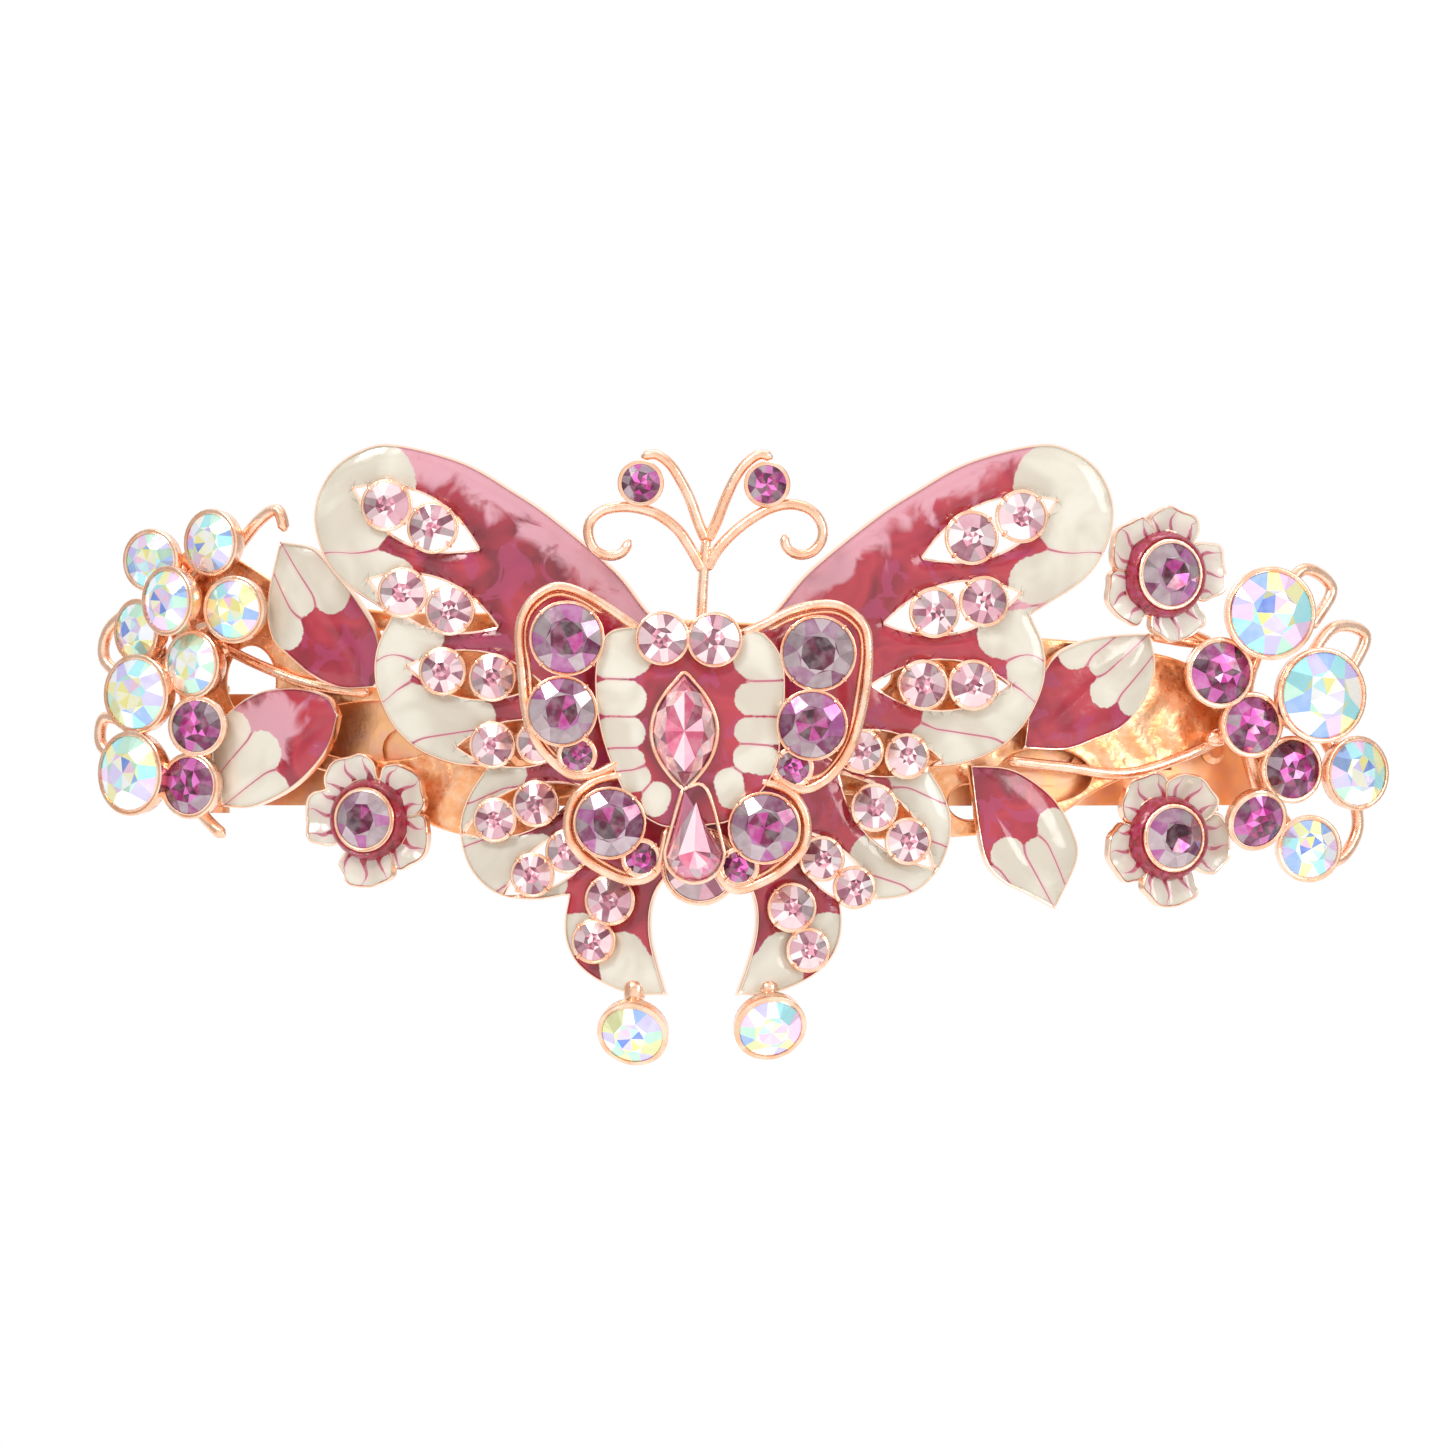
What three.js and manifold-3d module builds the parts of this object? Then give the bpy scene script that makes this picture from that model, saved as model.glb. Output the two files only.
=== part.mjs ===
// Hair clip: a spring barrette that carries an enamelled, stone-set butterfly between two jewelled sprays.
// Millimetres. +X runs along the clip, +Z is up as it is worn, and the decorated front faces -Y.
import * as THREE from 'three';
import { mergeVertices } from 'three/addons/utils/BufferGeometryUtils.js';
import Module from 'manifold-3d';

const wasm = await Module();
wasm.setup();

const radians = THREE.MathUtils.degToRad;

// ---------------------------------------------------------------- driving sizes

// The clip's arch: the front face of the bar is a circle about a vertical axis.
const ARCH_RADIUS = 80;
const ARCH_X = 2;
const BAR_FRONT = -7.3;
const ARCH_Y = BAR_FRONT + ARCH_RADIUS;

// Bar
const BAR_LEFT = -41.4;
const BAR_RIGHT = 44.4;
const BAR_WIDTH = 9;
const BAR_THICKNESS = 0.8;
const RIB_HALF_LENGTH = 28.5;
const RIB_HALF_WIDTH = 2.3;
const RIB_BEAD = 1.1;
const RIB_HEIGHT = 0.5;

// Arm and its hinge
const ARM_FRONT = 4;
const ARM_THICKNESS = 0.8;
const ARM_WIDTH = 6.4;
const ARM_SLOT_WIDTH = 3;
const ARM_SLOT_LENGTH = 58;
const ARM_END_WIDTH = 8;
const ARM_END_LENGTH = 10.5;
const PIN_RADIUS = 0.6;
const PIN_HEAD = 0.5;
const EYE_WALL = 0.62;
const EAR_THICKNESS = 0.8;
const HINGE_X = -39.5;
const RUNNING_GAP = 0.06;

// Bow spring
const BOW_FRONT = -3.5;
const BOW_THICKNESS = 0.5;
const BOW_WIDTH = 5;
const BOW_HALF_SPAN = 35.5;
const BOW_TRAVEL = 0.8;
const BOW_LEG_WIDTH = 3;

// Catch
const CATCH_X = 41.2;
const CATCH_LENGTH = 4;
const CATCH_SHEET = 0.5;
const PRONG_Z = 1.8;
const PRONG_RISE = 2.6;
const BARB = 0.45;
const BARB_LENGTH = 1.5;
const TAB_REACH = 2.9;

// Castings on the front, as heights above the bar's front face
const FRAME_LIFT = 0.9;
const FRAME_THICKNESS = 0.8;
const TWIG_RADIUS = 0.45;
const SPINE_RADIUS = 0.8;
const PETAL_THICKNESS = 0.8;

// Butterflies
const WING_FRONT = -14;
const WING_THICKNESS = 1.2;
const WING_SWEEP = radians(10);
const WING_LEAN = radians(1.5);
const WING_X = 0.3;
const WING_JOIN = 0.8;
const WING_CUP_RISE = 1;
const WING_CUP_FLOOR = 0.8;
const SMALL_FRONT = -18.2;
const SMALL_THICKNESS = 1.2;
const LOOP_RADIUS = 0.55;
const ANTENNA_RADIUS = 0.48;

// Stones and their cups, as shares of a stone's radius or in millimetres
const CROWN = 0.34;
const PAVILION = 0.62;
const TABLE = 0.56;
const CULET = 0.3;
const GIRDLE = 0.16;
const SEAT_GAP = 0.12;
const CUP_WALL = 0.38;
const CUP_FLOOR = 0.4;
const CUP_LIP = 0.22;
const STONE_SIDES = 8;

// Clear distance between two pieces that lie on each other
const GAP = 0.15;

const RIVET_RADIUS = 0.9;
const RIVET_HEAD = 1.5;
const RIVET_HEAD_HEIGHT = 0.5;
const CATCH_RIVET_HEAD = 1.2;

// ---------------------------------------------------------------- materials

const finish = (color, roughness, metalness) => () =>
  new THREE.MeshStandardMaterial({ color, roughness, metalness });
const roseGold = finish(0xf0b896, 0.22, 1);
const giltSteel = finish(0xf2b482, 0.28, 1);
const enamel = finish(0xc04a66, 0.18, 0);
const amethyst = finish(0x7a1f60, 0.05, 0);
const pinkGlass = finish(0xd98ba0, 0.05, 0);
const clearGlass = finish(0xdcecf0, 0.05, 0);

// ---------------------------------------------------------------- shape helpers

const root = new THREE.Group();

// A closed three.js geometry as a solid for cutting and joining.
function solidOf(geometry) {
  geometry.deleteAttribute('normal');
  geometry.deleteAttribute('uv');
  const merged = mergeVertices(geometry, 1e-4);
  const mesh = new wasm.Mesh({
    numProp: 3,
    vertProperties: new Float32Array(merged.attributes.position.array),
    triVerts: new Uint32Array(merged.index.array),
  });
  return new wasm.Manifold(mesh);
}

// A solid as a named mesh of the part.
function piece(name, solid, material) {
  const made = solid.getMesh();
  const geometry = new THREE.BufferGeometry();
  geometry.setAttribute('position', new THREE.BufferAttribute(made.vertProperties, 3));
  geometry.setIndex(new THREE.BufferAttribute(made.triVerts, 1));
  geometry.computeVertexNormals();
  const mesh = new THREE.Mesh(geometry, material());
  mesh.name = name;
  root.add(mesh);
  return mesh;
}

const joined = (solids) => solids.reduce((sum, solid) => sum.add(solid));
const cut = (solid, cutters) => cutters.reduce((rest, cutter) => rest.subtract(cutter), solid);

// An outline in X and Z, extruded along Y from front to back.
function prism(shape, front, back, curveSegments = 6) {
  const depth = back - front;
  const geometry = new THREE.ExtrudeGeometry(shape, { depth, bevelEnabled: false, curveSegments });
  return solidOf(geometry.rotateX(Math.PI / 2).translate(0, back, 0));
}

// A box between two corners.
function block(low, high) {
  const geometry = new THREE.BoxGeometry(high[0] - low[0], high[1] - low[1], high[2] - low[2]);
  const middle = low.map((value, axis) => (value + high[axis]) / 2);
  return solidOf(geometry.translate(...middle));
}

// A round bar along Y. Its flats touch the radius, so that a round piece of that radius fits inside.
function disc(radius, front, back, sides = 8) {
  const outer = radius / Math.cos(Math.PI / sides);
  const cylinder = new THREE.CylinderGeometry(outer, outer, back - front, sides);
  return solidOf(cylinder.translate(0, (front + back) / 2, 0));
}

// A round bar along Z, about the point (x, y).
function post(x, y, radius, bottom, top, sides = 16) {
  const geometry = new THREE.CylinderGeometry(radius, radius, top - bottom, sides).rotateX(Math.PI / 2);
  return solidOf(geometry.translate(x, y, (bottom + top) / 2));
}

// A solid of revolution about Y, from [radius, y] pairs that run from front to back.
const turned = (profile, sides) =>
  solidOf(new THREE.LatheGeometry(profile.map(([radius, y]) => new THREE.Vector2(radius, y)), sides));

// A wire through a list of points.
function wire(points, radius, steps = Math.round(points.length * 1.5), sides = 5) {
  const section = new THREE.Shape();
  for (let i = 0; i < sides; i += 1) {
    const angle = (i / sides) * 2 * Math.PI;
    if (i === 0) section.moveTo(radius, 0);
    else section.lineTo(radius * Math.cos(angle), radius * Math.sin(angle));
  }
  const extrudePath = new THREE.CatmullRomCurve3(points);
  return solidOf(new THREE.ExtrudeGeometry(section, { steps, bevelEnabled: false, extrudePath }));
}

// A closed outline made of smooth stretches that meet in corners.
// Each stretch is a list of [x, z] and starts where the one before it ends.
function outline(start, ...stretches) {
  const shape = new THREE.Shape();
  shape.moveTo(...start);
  for (const stretch of stretches) {
    if (stretch.length === 1) shape.lineTo(...stretch[0]);
    else shape.splineThru(stretch.map(([x, z]) => new THREE.Vector2(x, z)));
  }
  return shape;
}

// A pointed oval between two tips, with arcs that bulge by half its width.
function eye([x0, z0], [x1, z1], halfWidth) {
  const length = Math.hypot(x1 - x0, z1 - z0);
  const side = [(-(z1 - z0) / length) * 2 * halfWidth, ((x1 - x0) / length) * 2 * halfWidth];
  const middle = [(x0 + x1) / 2, (z0 + z1) / 2];
  const shape = new THREE.Shape();
  shape.moveTo(x0, z0);
  shape.quadraticCurveTo(middle[0] - side[0], middle[1] - side[1], x1, z1);
  shape.quadraticCurveTo(middle[0] + side[0], middle[1] + side[1], x0, z0);
  return shape;
}

// A strip that follows a circle about a vertical axis at (ARCH_X, centreY), between two radii.
function strip(centreY, inner, outer, left, right, bottom, top, curveSegments = 16) {
  const start = Math.asin((left - ARCH_X) / outer) - Math.PI / 2;
  const end = Math.asin((right - ARCH_X) / outer) - Math.PI / 2;
  const shape = new THREE.Shape();
  shape.absarc(ARCH_X, centreY, outer, start, end, false);
  shape.absarc(ARCH_X, centreY, inner, end, start, true);
  const depth = top - bottom;
  const geometry = new THREE.ExtrudeGeometry(shape, { depth, bevelEnabled: false, curveSegments });
  return solidOf(geometry.translate(0, 0, bottom));
}

// ---------------------------------------------------------------- places on the arch

// The y of the surface that stands `lift` in front of the bar's front face.
const archY = (x, lift) => ARCH_Y - Math.sqrt((ARCH_RADIUS + lift) ** 2 - (x - ARCH_X) ** 2);
const archTurn = (x, lift) => Math.asin((x - ARCH_X) / (ARCH_RADIUS + lift));
const onArch = (x, z, lift) => new THREE.Vector3(x, archY(x, lift), z);

// A place: a point, a turn about Z that takes -Y towards +X, and a pitch that takes -Y downwards.
const place = (x, y, z, turn = 0, pitch = 0) => ({ point: new THREE.Vector3(x, y, z), turn, pitch });
const archPlace = (x, z, lift, turn = archTurn(x, lift), pitch = 0) =>
  place(x, archY(x, lift), z, turn, pitch);
const rotationOf = ({ turn, pitch }) => new THREE.Euler(pitch, 0, turn, 'ZXY');

function matrixOf(spot) {
  const turned3 = new THREE.Quaternion().setFromEuler(rotationOf(spot));
  return new THREE.Matrix4().compose(spot.point, turned3, new THREE.Vector3(1, 1, 1));
}

const put = (solid, spot) => solid.transform(matrixOf(spot).elements);

function putMesh(mesh, spot) {
  mesh.position.copy(spot.point);
  mesh.rotation.copy(rotationOf(spot));
  return mesh;
}

// An outline that follows the arch, between two heights above the bar's front face.
function archSheet(shape, lift, thickness, curveSegments = 6) {
  const tall = 60;
  const band = strip(ARCH_Y, ARCH_RADIUS + lift, ARCH_RADIUS + lift + thickness, -56, 60, -tall, tall, 20);
  return prism(shape, -tall, tall, curveSegments).intersect(band);
}

// ---------------------------------------------------------------- stones and cups

// A round faceted stone, its girdle at y = 0 and its table towards -Y.
const roundStone = (radius) =>
  turned(
    [
      [0, -CROWN * radius],
      [TABLE * radius, -CROWN * radius],
      [radius, -GIRDLE / 2],
      [radius, GIRDLE / 2],
      [CULET * radius, PAVILION * radius],
      [0, PAVILION * radius],
    ],
    STONE_SIDES,
  );

const cupBack = (radius) => PAVILION * radius + SEAT_GAP + CUP_FLOOR;
const cupBody = (radius, wall = CUP_WALL) => disc(radius + SEAT_GAP + wall, -CUP_LIP, cupBack(radius));
const cupSeat = (radius) =>
  disc(radius + SEAT_GAP, -CROWN * radius - SEAT_GAP - CUP_LIP, cupBack(radius) - CUP_FLOOR);

// A casting with a cup for each stone: the cups are joined on, and every seat is cut free.
function withCups(casting, stones, wall) {
  const cups = stones.map(({ radius, spot }) => put(cupBody(radius, wall), spot));
  const seats = stones.map(({ radius, spot }) => put(cupSeat(radius), spot));
  return cut(joined([casting, ...cups]), seats);
}

function setStones(stones, material) {
  for (const { name, radius, spot } of stones) putMesh(piece(name, roundStone(radius), material), spot);
}

// ---------------------------------------------------------------- clip mechanism

const half = (size) => size / 2;
const barBack = (x) => archY(x, -BAR_THICKNESS);

// The hinge pin lies behind the bar, clear of it by the arm's eye.
const eyeRadius = PIN_RADIUS + RUNNING_GAP + EYE_WALL;
const hingeRadius = ARCH_RADIUS - BAR_THICKNESS - eyeRadius - 2 * GAP;
const HINGE_Y = ARCH_Y - Math.sqrt(hingeRadius ** 2 - (HINGE_X - ARCH_X) ** 2);

// The arm's middle plane runs through the pin, on a circle of its own.
const armMiddle = ARM_FRONT + half(ARM_THICKNESS);
const armSag = HINGE_Y - armMiddle;
const armRadius = ((HINGE_X - ARCH_X) ** 2 + armSag ** 2) / (2 * armSag);
const armY = (x) => armMiddle + armRadius - Math.sqrt(armRadius ** 2 - (x - ARCH_X) ** 2);

const windowHalfWidth = PRONG_Z + half(CATCH_SHEET) + BARB + GAP;
const windowLeft = CATCH_X - half(CATCH_LENGTH) - 4 * GAP;
const windowRight = CATCH_X + half(CATCH_LENGTH) + 4 * GAP;
const armRight = windowRight + 2.2;
const armEndHalf = Math.max(half(ARM_END_WIDTH), windowHalfWidth + 1);

// The bow meets the bar at its ends, and keeps its travel clear there.
const bowEndFront = archY(ARCH_X + BOW_HALF_SPAN, -BAR_THICKNESS) + BOW_TRAVEL + 2 * GAP;
const bowSag = bowEndFront - BOW_FRONT;
const bowRadius = (BOW_HALF_SPAN ** 2 + bowSag ** 2) / (2 * bowSag);
const bowLegs = [-1, 1].map((side) => ARCH_X + side * (BOW_HALF_SPAN - half(BOW_THICKNESS)));

// A rivet through the sheets between two heights of the arch.
function rivetShape(front, back, head = RIVET_HEAD) {
  return turned(
    [
      [0, front - RIVET_HEAD_HEIGHT],
      [head * 0.6, front - RIVET_HEAD_HEIGHT],
      [head, front - GAP / 2],
      [RIVET_RADIUS, front - GAP / 2],
      [RIVET_RADIUS, back + GAP / 2],
      [head, back + GAP / 2],
      [head * 0.6, back + RIVET_HEAD_HEIGHT],
      [0, back + RIVET_HEAD_HEIGHT],
    ],
    12,
  );
}

const rivetHole = (spot) => put(disc(RIVET_RADIUS + GAP / 2, -6, 6), spot);

const frameRivets = [
  { name: 'rivet_left', spot: archPlace(ARCH_X - 16, 0, 0) },
  { name: 'rivet_right', spot: archPlace(ARCH_X + 16, 0, 0) },
];
const butterflyPost = place(WING_X, archY(WING_X, 0), 0);
const catchRivet = archPlace(CATCH_X, 0, 0);

function clipBar() {
  const rib = (grow) => {
    const shape = new THREE.Shape();
    const radius = RIB_HALF_WIDTH + grow;
    shape.absarc(ARCH_X + RIB_HALF_LENGTH - RIB_HALF_WIDTH, 0, radius, -Math.PI / 2, Math.PI / 2, false);
    const left = ARCH_X - RIB_HALF_LENGTH + RIB_HALF_WIDTH;
    shape.absarc(left, 0, radius, Math.PI / 2, (Math.PI * 3) / 2, false);
    return archSheet(shape, -half(BAR_THICKNESS), half(BAR_THICKNESS) + RIB_HEIGHT, 4);
  };
  const rim = half(BAR_WIDTH);
  const plate = strip(ARCH_Y, ARCH_RADIUS - BAR_THICKNESS, ARCH_RADIUS, BAR_LEFT, BAR_RIGHT, -rim, rim);
  const loop = rib(half(RIB_BEAD)).subtract(rib(-half(RIB_BEAD)));
  const ear = (bottom) => {
    const shape = new THREE.Shape();
    shape.moveTo(BAR_LEFT + 0.2, archY(BAR_LEFT + 0.2, -half(BAR_THICKNESS)));
    shape.lineTo(HINGE_X - eyeRadius, HINGE_Y);
    shape.absarc(HINGE_X, HINGE_Y, eyeRadius, Math.PI, 0, true);
    shape.lineTo(HINGE_X + 3.4, archY(HINGE_X + 3.4, -half(BAR_THICKNESS)));
    const settings = { depth: EAR_THICKNESS, bevelEnabled: false, curveSegments: 6 };
    const geometry = new THREE.ExtrudeGeometry(shape, settings);
    return solidOf(geometry.translate(0, 0, bottom));
  };
  const legSlots = bowLegs.map((x) => {
    const reach = half(BOW_THICKNESS) + 2 * GAP;
    const side = half(BOW_LEG_WIDTH) + GAP;
    return block([x - reach, barBack(x) - 4, -side], [x + reach, barBack(x) + 4, side]);
  });
  const holeRadius = (PIN_RADIUS + RUNNING_GAP) / Math.cos(Math.PI / 16);
  const pinHole = post(HINGE_X, HINGE_Y, holeRadius, -rim - 1, rim + 1);
  const rivets = [...frameRivets, { spot: butterflyPost }, { spot: catchRivet }];
  const holes = rivets.map(({ spot }) => rivetHole(spot));
  const body = joined([plate, loop, ear(-rim), ear(rim - EAR_THICKNESS)]);
  piece('clip_bar', cut(body, [...legSlots, pinHole, ...holes]), giltSteel);
}

function clipArm() {
  const centreY = armMiddle + armRadius;
  const armInner = armRadius - half(ARM_THICKNESS);
  const armOuter = armRadius + half(ARM_THICKNESS);
  const sheet = (left, right, width) =>
    strip(centreY, armInner, armOuter, left, right, -width, width);
  const inner = half(BAR_WIDTH) - EAR_THICKNESS - 2 * GAP;
  const width = Math.min(half(ARM_WIDTH), inner);
  const eyeBore = post(HINGE_X, HINGE_Y, (PIN_RADIUS + RUNNING_GAP) / Math.cos(Math.PI / 16), -9, 9);
  const body = joined([
    sheet(HINGE_X, armRight - 1, width),
    sheet(armRight - ARM_END_LENGTH, armRight, armEndHalf),
    post(HINGE_X, HINGE_Y, eyeRadius, -inner, inner),
  ]);
  const slotHalf = half(ARM_SLOT_LENGTH);
  const slotShape = new THREE.Shape();
  const slotRadius = Math.min(half(ARM_SLOT_WIDTH), width - 1);
  slotShape.absarc(ARCH_X + slotHalf - slotRadius, 0, slotRadius, -Math.PI / 2, Math.PI / 2, false);
  slotShape.absarc(ARCH_X - slotHalf + slotRadius, 0, slotRadius, Math.PI / 2, (Math.PI * 3) / 2, false);
  const slot = prism(slotShape, -20, 30);
  const window = block([windowLeft, -20, -windowHalfWidth], [windowRight, 40, windowHalfWidth]);
  piece('clip_arm', cut(body, [eyeBore, slot, window]), giltSteel);
}

function tensionBow() {
  const left = ARCH_X - BOW_HALF_SPAN;
  const right = ARCH_X + BOW_HALF_SPAN;
  const rim = half(BOW_WIDTH);
  const leaf = strip(BOW_FRONT + bowRadius, bowRadius - BOW_THICKNESS, bowRadius, left, right, -rim, rim);
  const legs = bowLegs.map((x) => {
    const tip = barBack(x) - half(BAR_THICKNESS);
    const reach = half(BOW_THICKNESS) * 0.9;
    const side = half(BOW_LEG_WIDTH);
    return block([x - reach, tip, -side], [x + reach, bowEndFront + half(BOW_THICKNESS) * 0.5, side]);
  });
  piece('tension_bow', joined([leaf, ...legs]), giltSteel);
}

function hingePin() {
  const top = half(BAR_WIDTH) + GAP;
  const shaft = post(HINGE_X, HINGE_Y, PIN_RADIUS, -top, top);
  const heads = [
    post(HINGE_X, HINGE_Y, PIN_RADIUS * 1.6, top, top + PIN_HEAD),
    post(HINGE_X, HINGE_Y, PIN_RADIUS * 1.6, -top - PIN_HEAD, -top),
  ];
  piece('hinge_pin', joined([shaft, ...heads]), giltSteel);
}

// The catch: a sheet on the back of the bar, with two sprung prongs that stand through the arm's window.
const sheetFront = -BAR_THICKNESS - GAP;
const prongLeft = CATCH_X - half(CATCH_LENGTH);
const prongRight = CATCH_X + half(CATCH_LENGTH);
const PRONG_FOOT_Y = barBack(CATCH_X) + half(CATCH_SHEET) + GAP;
const prongTop = armY(prongRight) + half(ARM_THICKNESS) + PRONG_RISE;

function catchParts() {
  const inner = ARCH_RADIUS + sheetFront - CATCH_SHEET;
  const wide = PRONG_Z + half(CATCH_SHEET) + 0.6;
  const [left, right] = [prongLeft - 4 * GAP, BAR_RIGHT - 2 * GAP];
  const sheet = strip(ARCH_Y, inner, ARCH_RADIUS + sheetFront, left, right, -wide, wide, 4);
  const slots = [-1, 1].map((side) => {
    const reach = half(CATCH_SHEET) + 2 * GAP;
    const z = side * PRONG_Z;
    return block([prongLeft - GAP, -20, z - reach], [prongRight + GAP, 40, z + reach]);
  });
  piece('catch_bracket', cut(sheet, [...slots, rivetHole(catchRivet)]), giltSteel);

  for (const [name, side] of [['catch_prong_upper', 1], ['catch_prong_lower', -1]]) {
    const low = half(CATCH_SHEET);
    const foot = new THREE.Shape();
    foot.moveTo(prongLeft, barBack(prongLeft) + GAP);
    foot.lineTo(prongRight, barBack(prongRight) + GAP);
    foot.lineTo(prongRight, prongTop - 0.8);
    foot.lineTo(prongRight - 0.8, prongTop);
    foot.lineTo(prongLeft + 0.8, prongTop);
    foot.lineTo(prongLeft, prongTop - 0.8);
    const plate = new THREE.ExtrudeGeometry(foot, { depth: CATCH_SHEET, bevelEnabled: false });
    const barbShape = new THREE.Shape();
    barbShape.moveTo(prongTop - 0.4, low * 0.5);
    barbShape.lineTo(prongTop - 0.4 - BARB_LENGTH, low * 0.5);
    barbShape.lineTo(prongTop - 0.4 - BARB_LENGTH, low + BARB);
    barbShape.lineTo(prongTop - 0.4, low);
    const barb = new THREE.ExtrudeGeometry(barbShape, { depth: CATCH_LENGTH - 1.6, bevelEnabled: false });
    const upright = new THREE.Matrix4().set(0, 0, 1, prongLeft + 0.8, 1, 0, 0, 0, 0, 1, 0, 0, 0, 0, 0, 1);
    barb.applyMatrix4(upright);
    const tabY = (barBack(prongRight) + armY(prongLeft) - half(ARM_THICKNESS)) / 2 - half(CATCH_SHEET);
    const tab = block([prongLeft + 0.5, tabY - low, 0], [prongRight - 1.5, tabY + low, low + TAB_REACH]);
    const parts = [solidOf(plate.translate(0, 0, -low)), solidOf(barb), tab];
    const upper = joined(parts).translate([0, 0, PRONG_Z]);
    piece(name, side > 0 ? upper : upper.mirror([0, 0, 1]), giltSteel);
  }
  const shape = rivetShape(0, BAR_THICKNESS + GAP + CATCH_SHEET, CATCH_RIVET_HEAD);
  putMesh(piece('catch_rivet', shape, giltSteel), catchRivet);
}

// ---------------------------------------------------------------- base frame

const frameFront = FRAME_LIFT + FRAME_THICKNESS;

function baseFrame() {
  const edge = outline(
    [-40.3, 4],
    [
      [-42.6, 7.4], [-43.6, 11.4], [-42.6, 15.6], [-39.6, 16.6], [-37, 15],
      [-33, 12.8], [-26, 11.2], [-17, 11], [0, 10.4],
    ],
    [[14, 9.6], [27, 9], [34, 8.2], [39, 7], [41.8, 4.6], [41.6, 1], [39, -1], [35, -1.8]],
    [[31.5, -3.4], [27, -6], [20, -7], [8, -7.2], [-8, -7], [-18, -7], [-23, -5.6], [-27, -3], [-33, -1]],
    [[-37, 0.6], [-39.4, 2], [-40.3, 4]],
  );
  const hole = (x0, x1, z0, z1) => {
    const shape = new THREE.Shape();
    shape.ellipse((x0 + x1) / 2, (z0 + z1) / 2, (x1 - x0) / 2, (z1 - z0) / 2, 0, 2 * Math.PI, false, 0);
    return prism(shape, -60, 60, 5);
  };
  const holes = [
    hole(-38.6, -34.6, 2.6, 8.4),
    hole(-32.5, -20.5, -0.9, 3.9),
    hole(-32, -20, 5.2, 9.6),
    hole(-13, -2, -3.6, -5.4),
    hole(-13, -1.5, 4, 8.6),
    hole(5.5, 15, 4, 8),
    hole(6, 15.5, -5.6, -3.6),
    hole(19.6, 23, -5.6, -2.8),
    hole(23.6, 31.2, -4.2, 0.1),
    hole(21, 31, 2, 7.2),
  ];
  const rivets = [...frameRivets, { spot: butterflyPost }].map(({ spot }) => rivetHole(spot));
  piece('base_frame', cut(archSheet(edge, FRAME_LIFT, FRAME_THICKNESS, 2), [...holes, ...rivets]), roseGold);
  for (const { name, spot } of frameRivets) {
    putMesh(piece(name, rivetShape(-frameFront, BAR_THICKNESS), giltSteel), spot);
  }
}

// ---------------------------------------------------------------- leaves and flowers

const PETAL_LIFT = frameFront + 2 * TWIG_RADIUS + 2 * GAP;

// A flat plate from an outline as it is seen from the front, tangent to the arch at the outline's middle.
function tangentPlate(points, lift, thickness) {
  const xs = points.map(([x]) => x);
  const zs = points.map(([, z]) => z);
  const middle = (values) => (Math.min(...values) + Math.max(...values)) / 2;
  const spot = archPlace(middle(xs), middle(zs), lift + thickness);
  const flat = points.map(([x, z]) => [(x - spot.point.x) / Math.cos(spot.turn), z - spot.point.z]);
  return { spot, flat };
}

// Each leaf: its outline from one side of the base, round the tip, and back.
const LEAVES = {
  leaf_upper_left: [
    [-26.3, 5],
    [[-29, 4.9], [-31.2, 5.7], [-33.2, 7.3], [-34.8, 9], [-35.2, 12], [-34.2, 16.8]],
    [[-31.4, 16.2], [-29.7, 14.3], [-27.8, 12], [-26.1, 8.8], [-26.3, 5]],
  ],
  leaf_lower_left: [
    [-29.4, 2.8],
    [[-30.2, 4.2], [-32, 4.9], [-34, 5], [-36, 4.6], [-38, 3.4], [-39.5, 1.6], [-39.8, -1], [-38.9, -4.6]],
    [[-36.8, -4.7], [-34.8, -4], [-32.8, -2.8], [-31, -1], [-29.9, 0.8], [-29.4, 2.8]],
  ],
  leaf_upper_right: [
    [25.6, 0.1],
    [[26.2, 3.8], [27.8, 7.2], [30, 8.6], [32.6, 9.2], [35.9, 9.4]],
    [[36.3, 6.6], [35.4, 3.8], [33.6, 1.8], [31.4, 0.8], [29, 0], [25.6, 0.1]],
  ],
  leaf_lower_right: [
    [21.3, -1.2],
    [[24.2, -1.4], [26.2, -2.3], [28.2, -4], [29.6, -6.4], [30, -8.8], [28.2, -12.8]],
    [[26, -11.6], [24, -10.6], [22.6, -9], [21.9, -6], [21.3, -1.2]],
  ],
};

function leaves() {
  for (const [name, [start, ...stretches]] of Object.entries(LEAVES)) {
    const points = [start, ...stretches.flat()];
    const { spot, flat } = tangentPlate(points, PETAL_LIFT, PETAL_THICKNESS);
    const lengths = stretches.map((stretch) => stretch.length);
    const first = flat.slice(1, 1 + lengths[0]);
    const second = flat.slice(1 + lengths[0]);
    putMesh(piece(name, prism(outline(flat[0], first, second), 0, PETAL_THICKNESS, 2), enamel), spot);
  }
}

// Each flower: its middle, how far it is raised over a leaf, its reach, the directions of its five
// petals, and its stone's radius.
const FLOWERS = [
  {
    name: 'left', x: -26.8, z: -5.6, raised: 0, reach: 5.5,
    petals: [115, 39, -27, -92, 177], stone: 2.35,
  },
  {
    name: 'upper_right', x: 36.9, z: 14.1, raised: 1, reach: 5.5,
    petals: [79, 140, 208, -73, 5], stone: 2.6,
  },
  {
    name: 'lower_right', x: 37.2, z: -7.1, raised: 0, reach: 5.6,
    petals: [122, 58, -7, -88, 199], stone: 2.5,
  },
];
const FLOWER_WALL = 0.9;
const FLOWER_CUP_RISE = 1.5;

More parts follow.
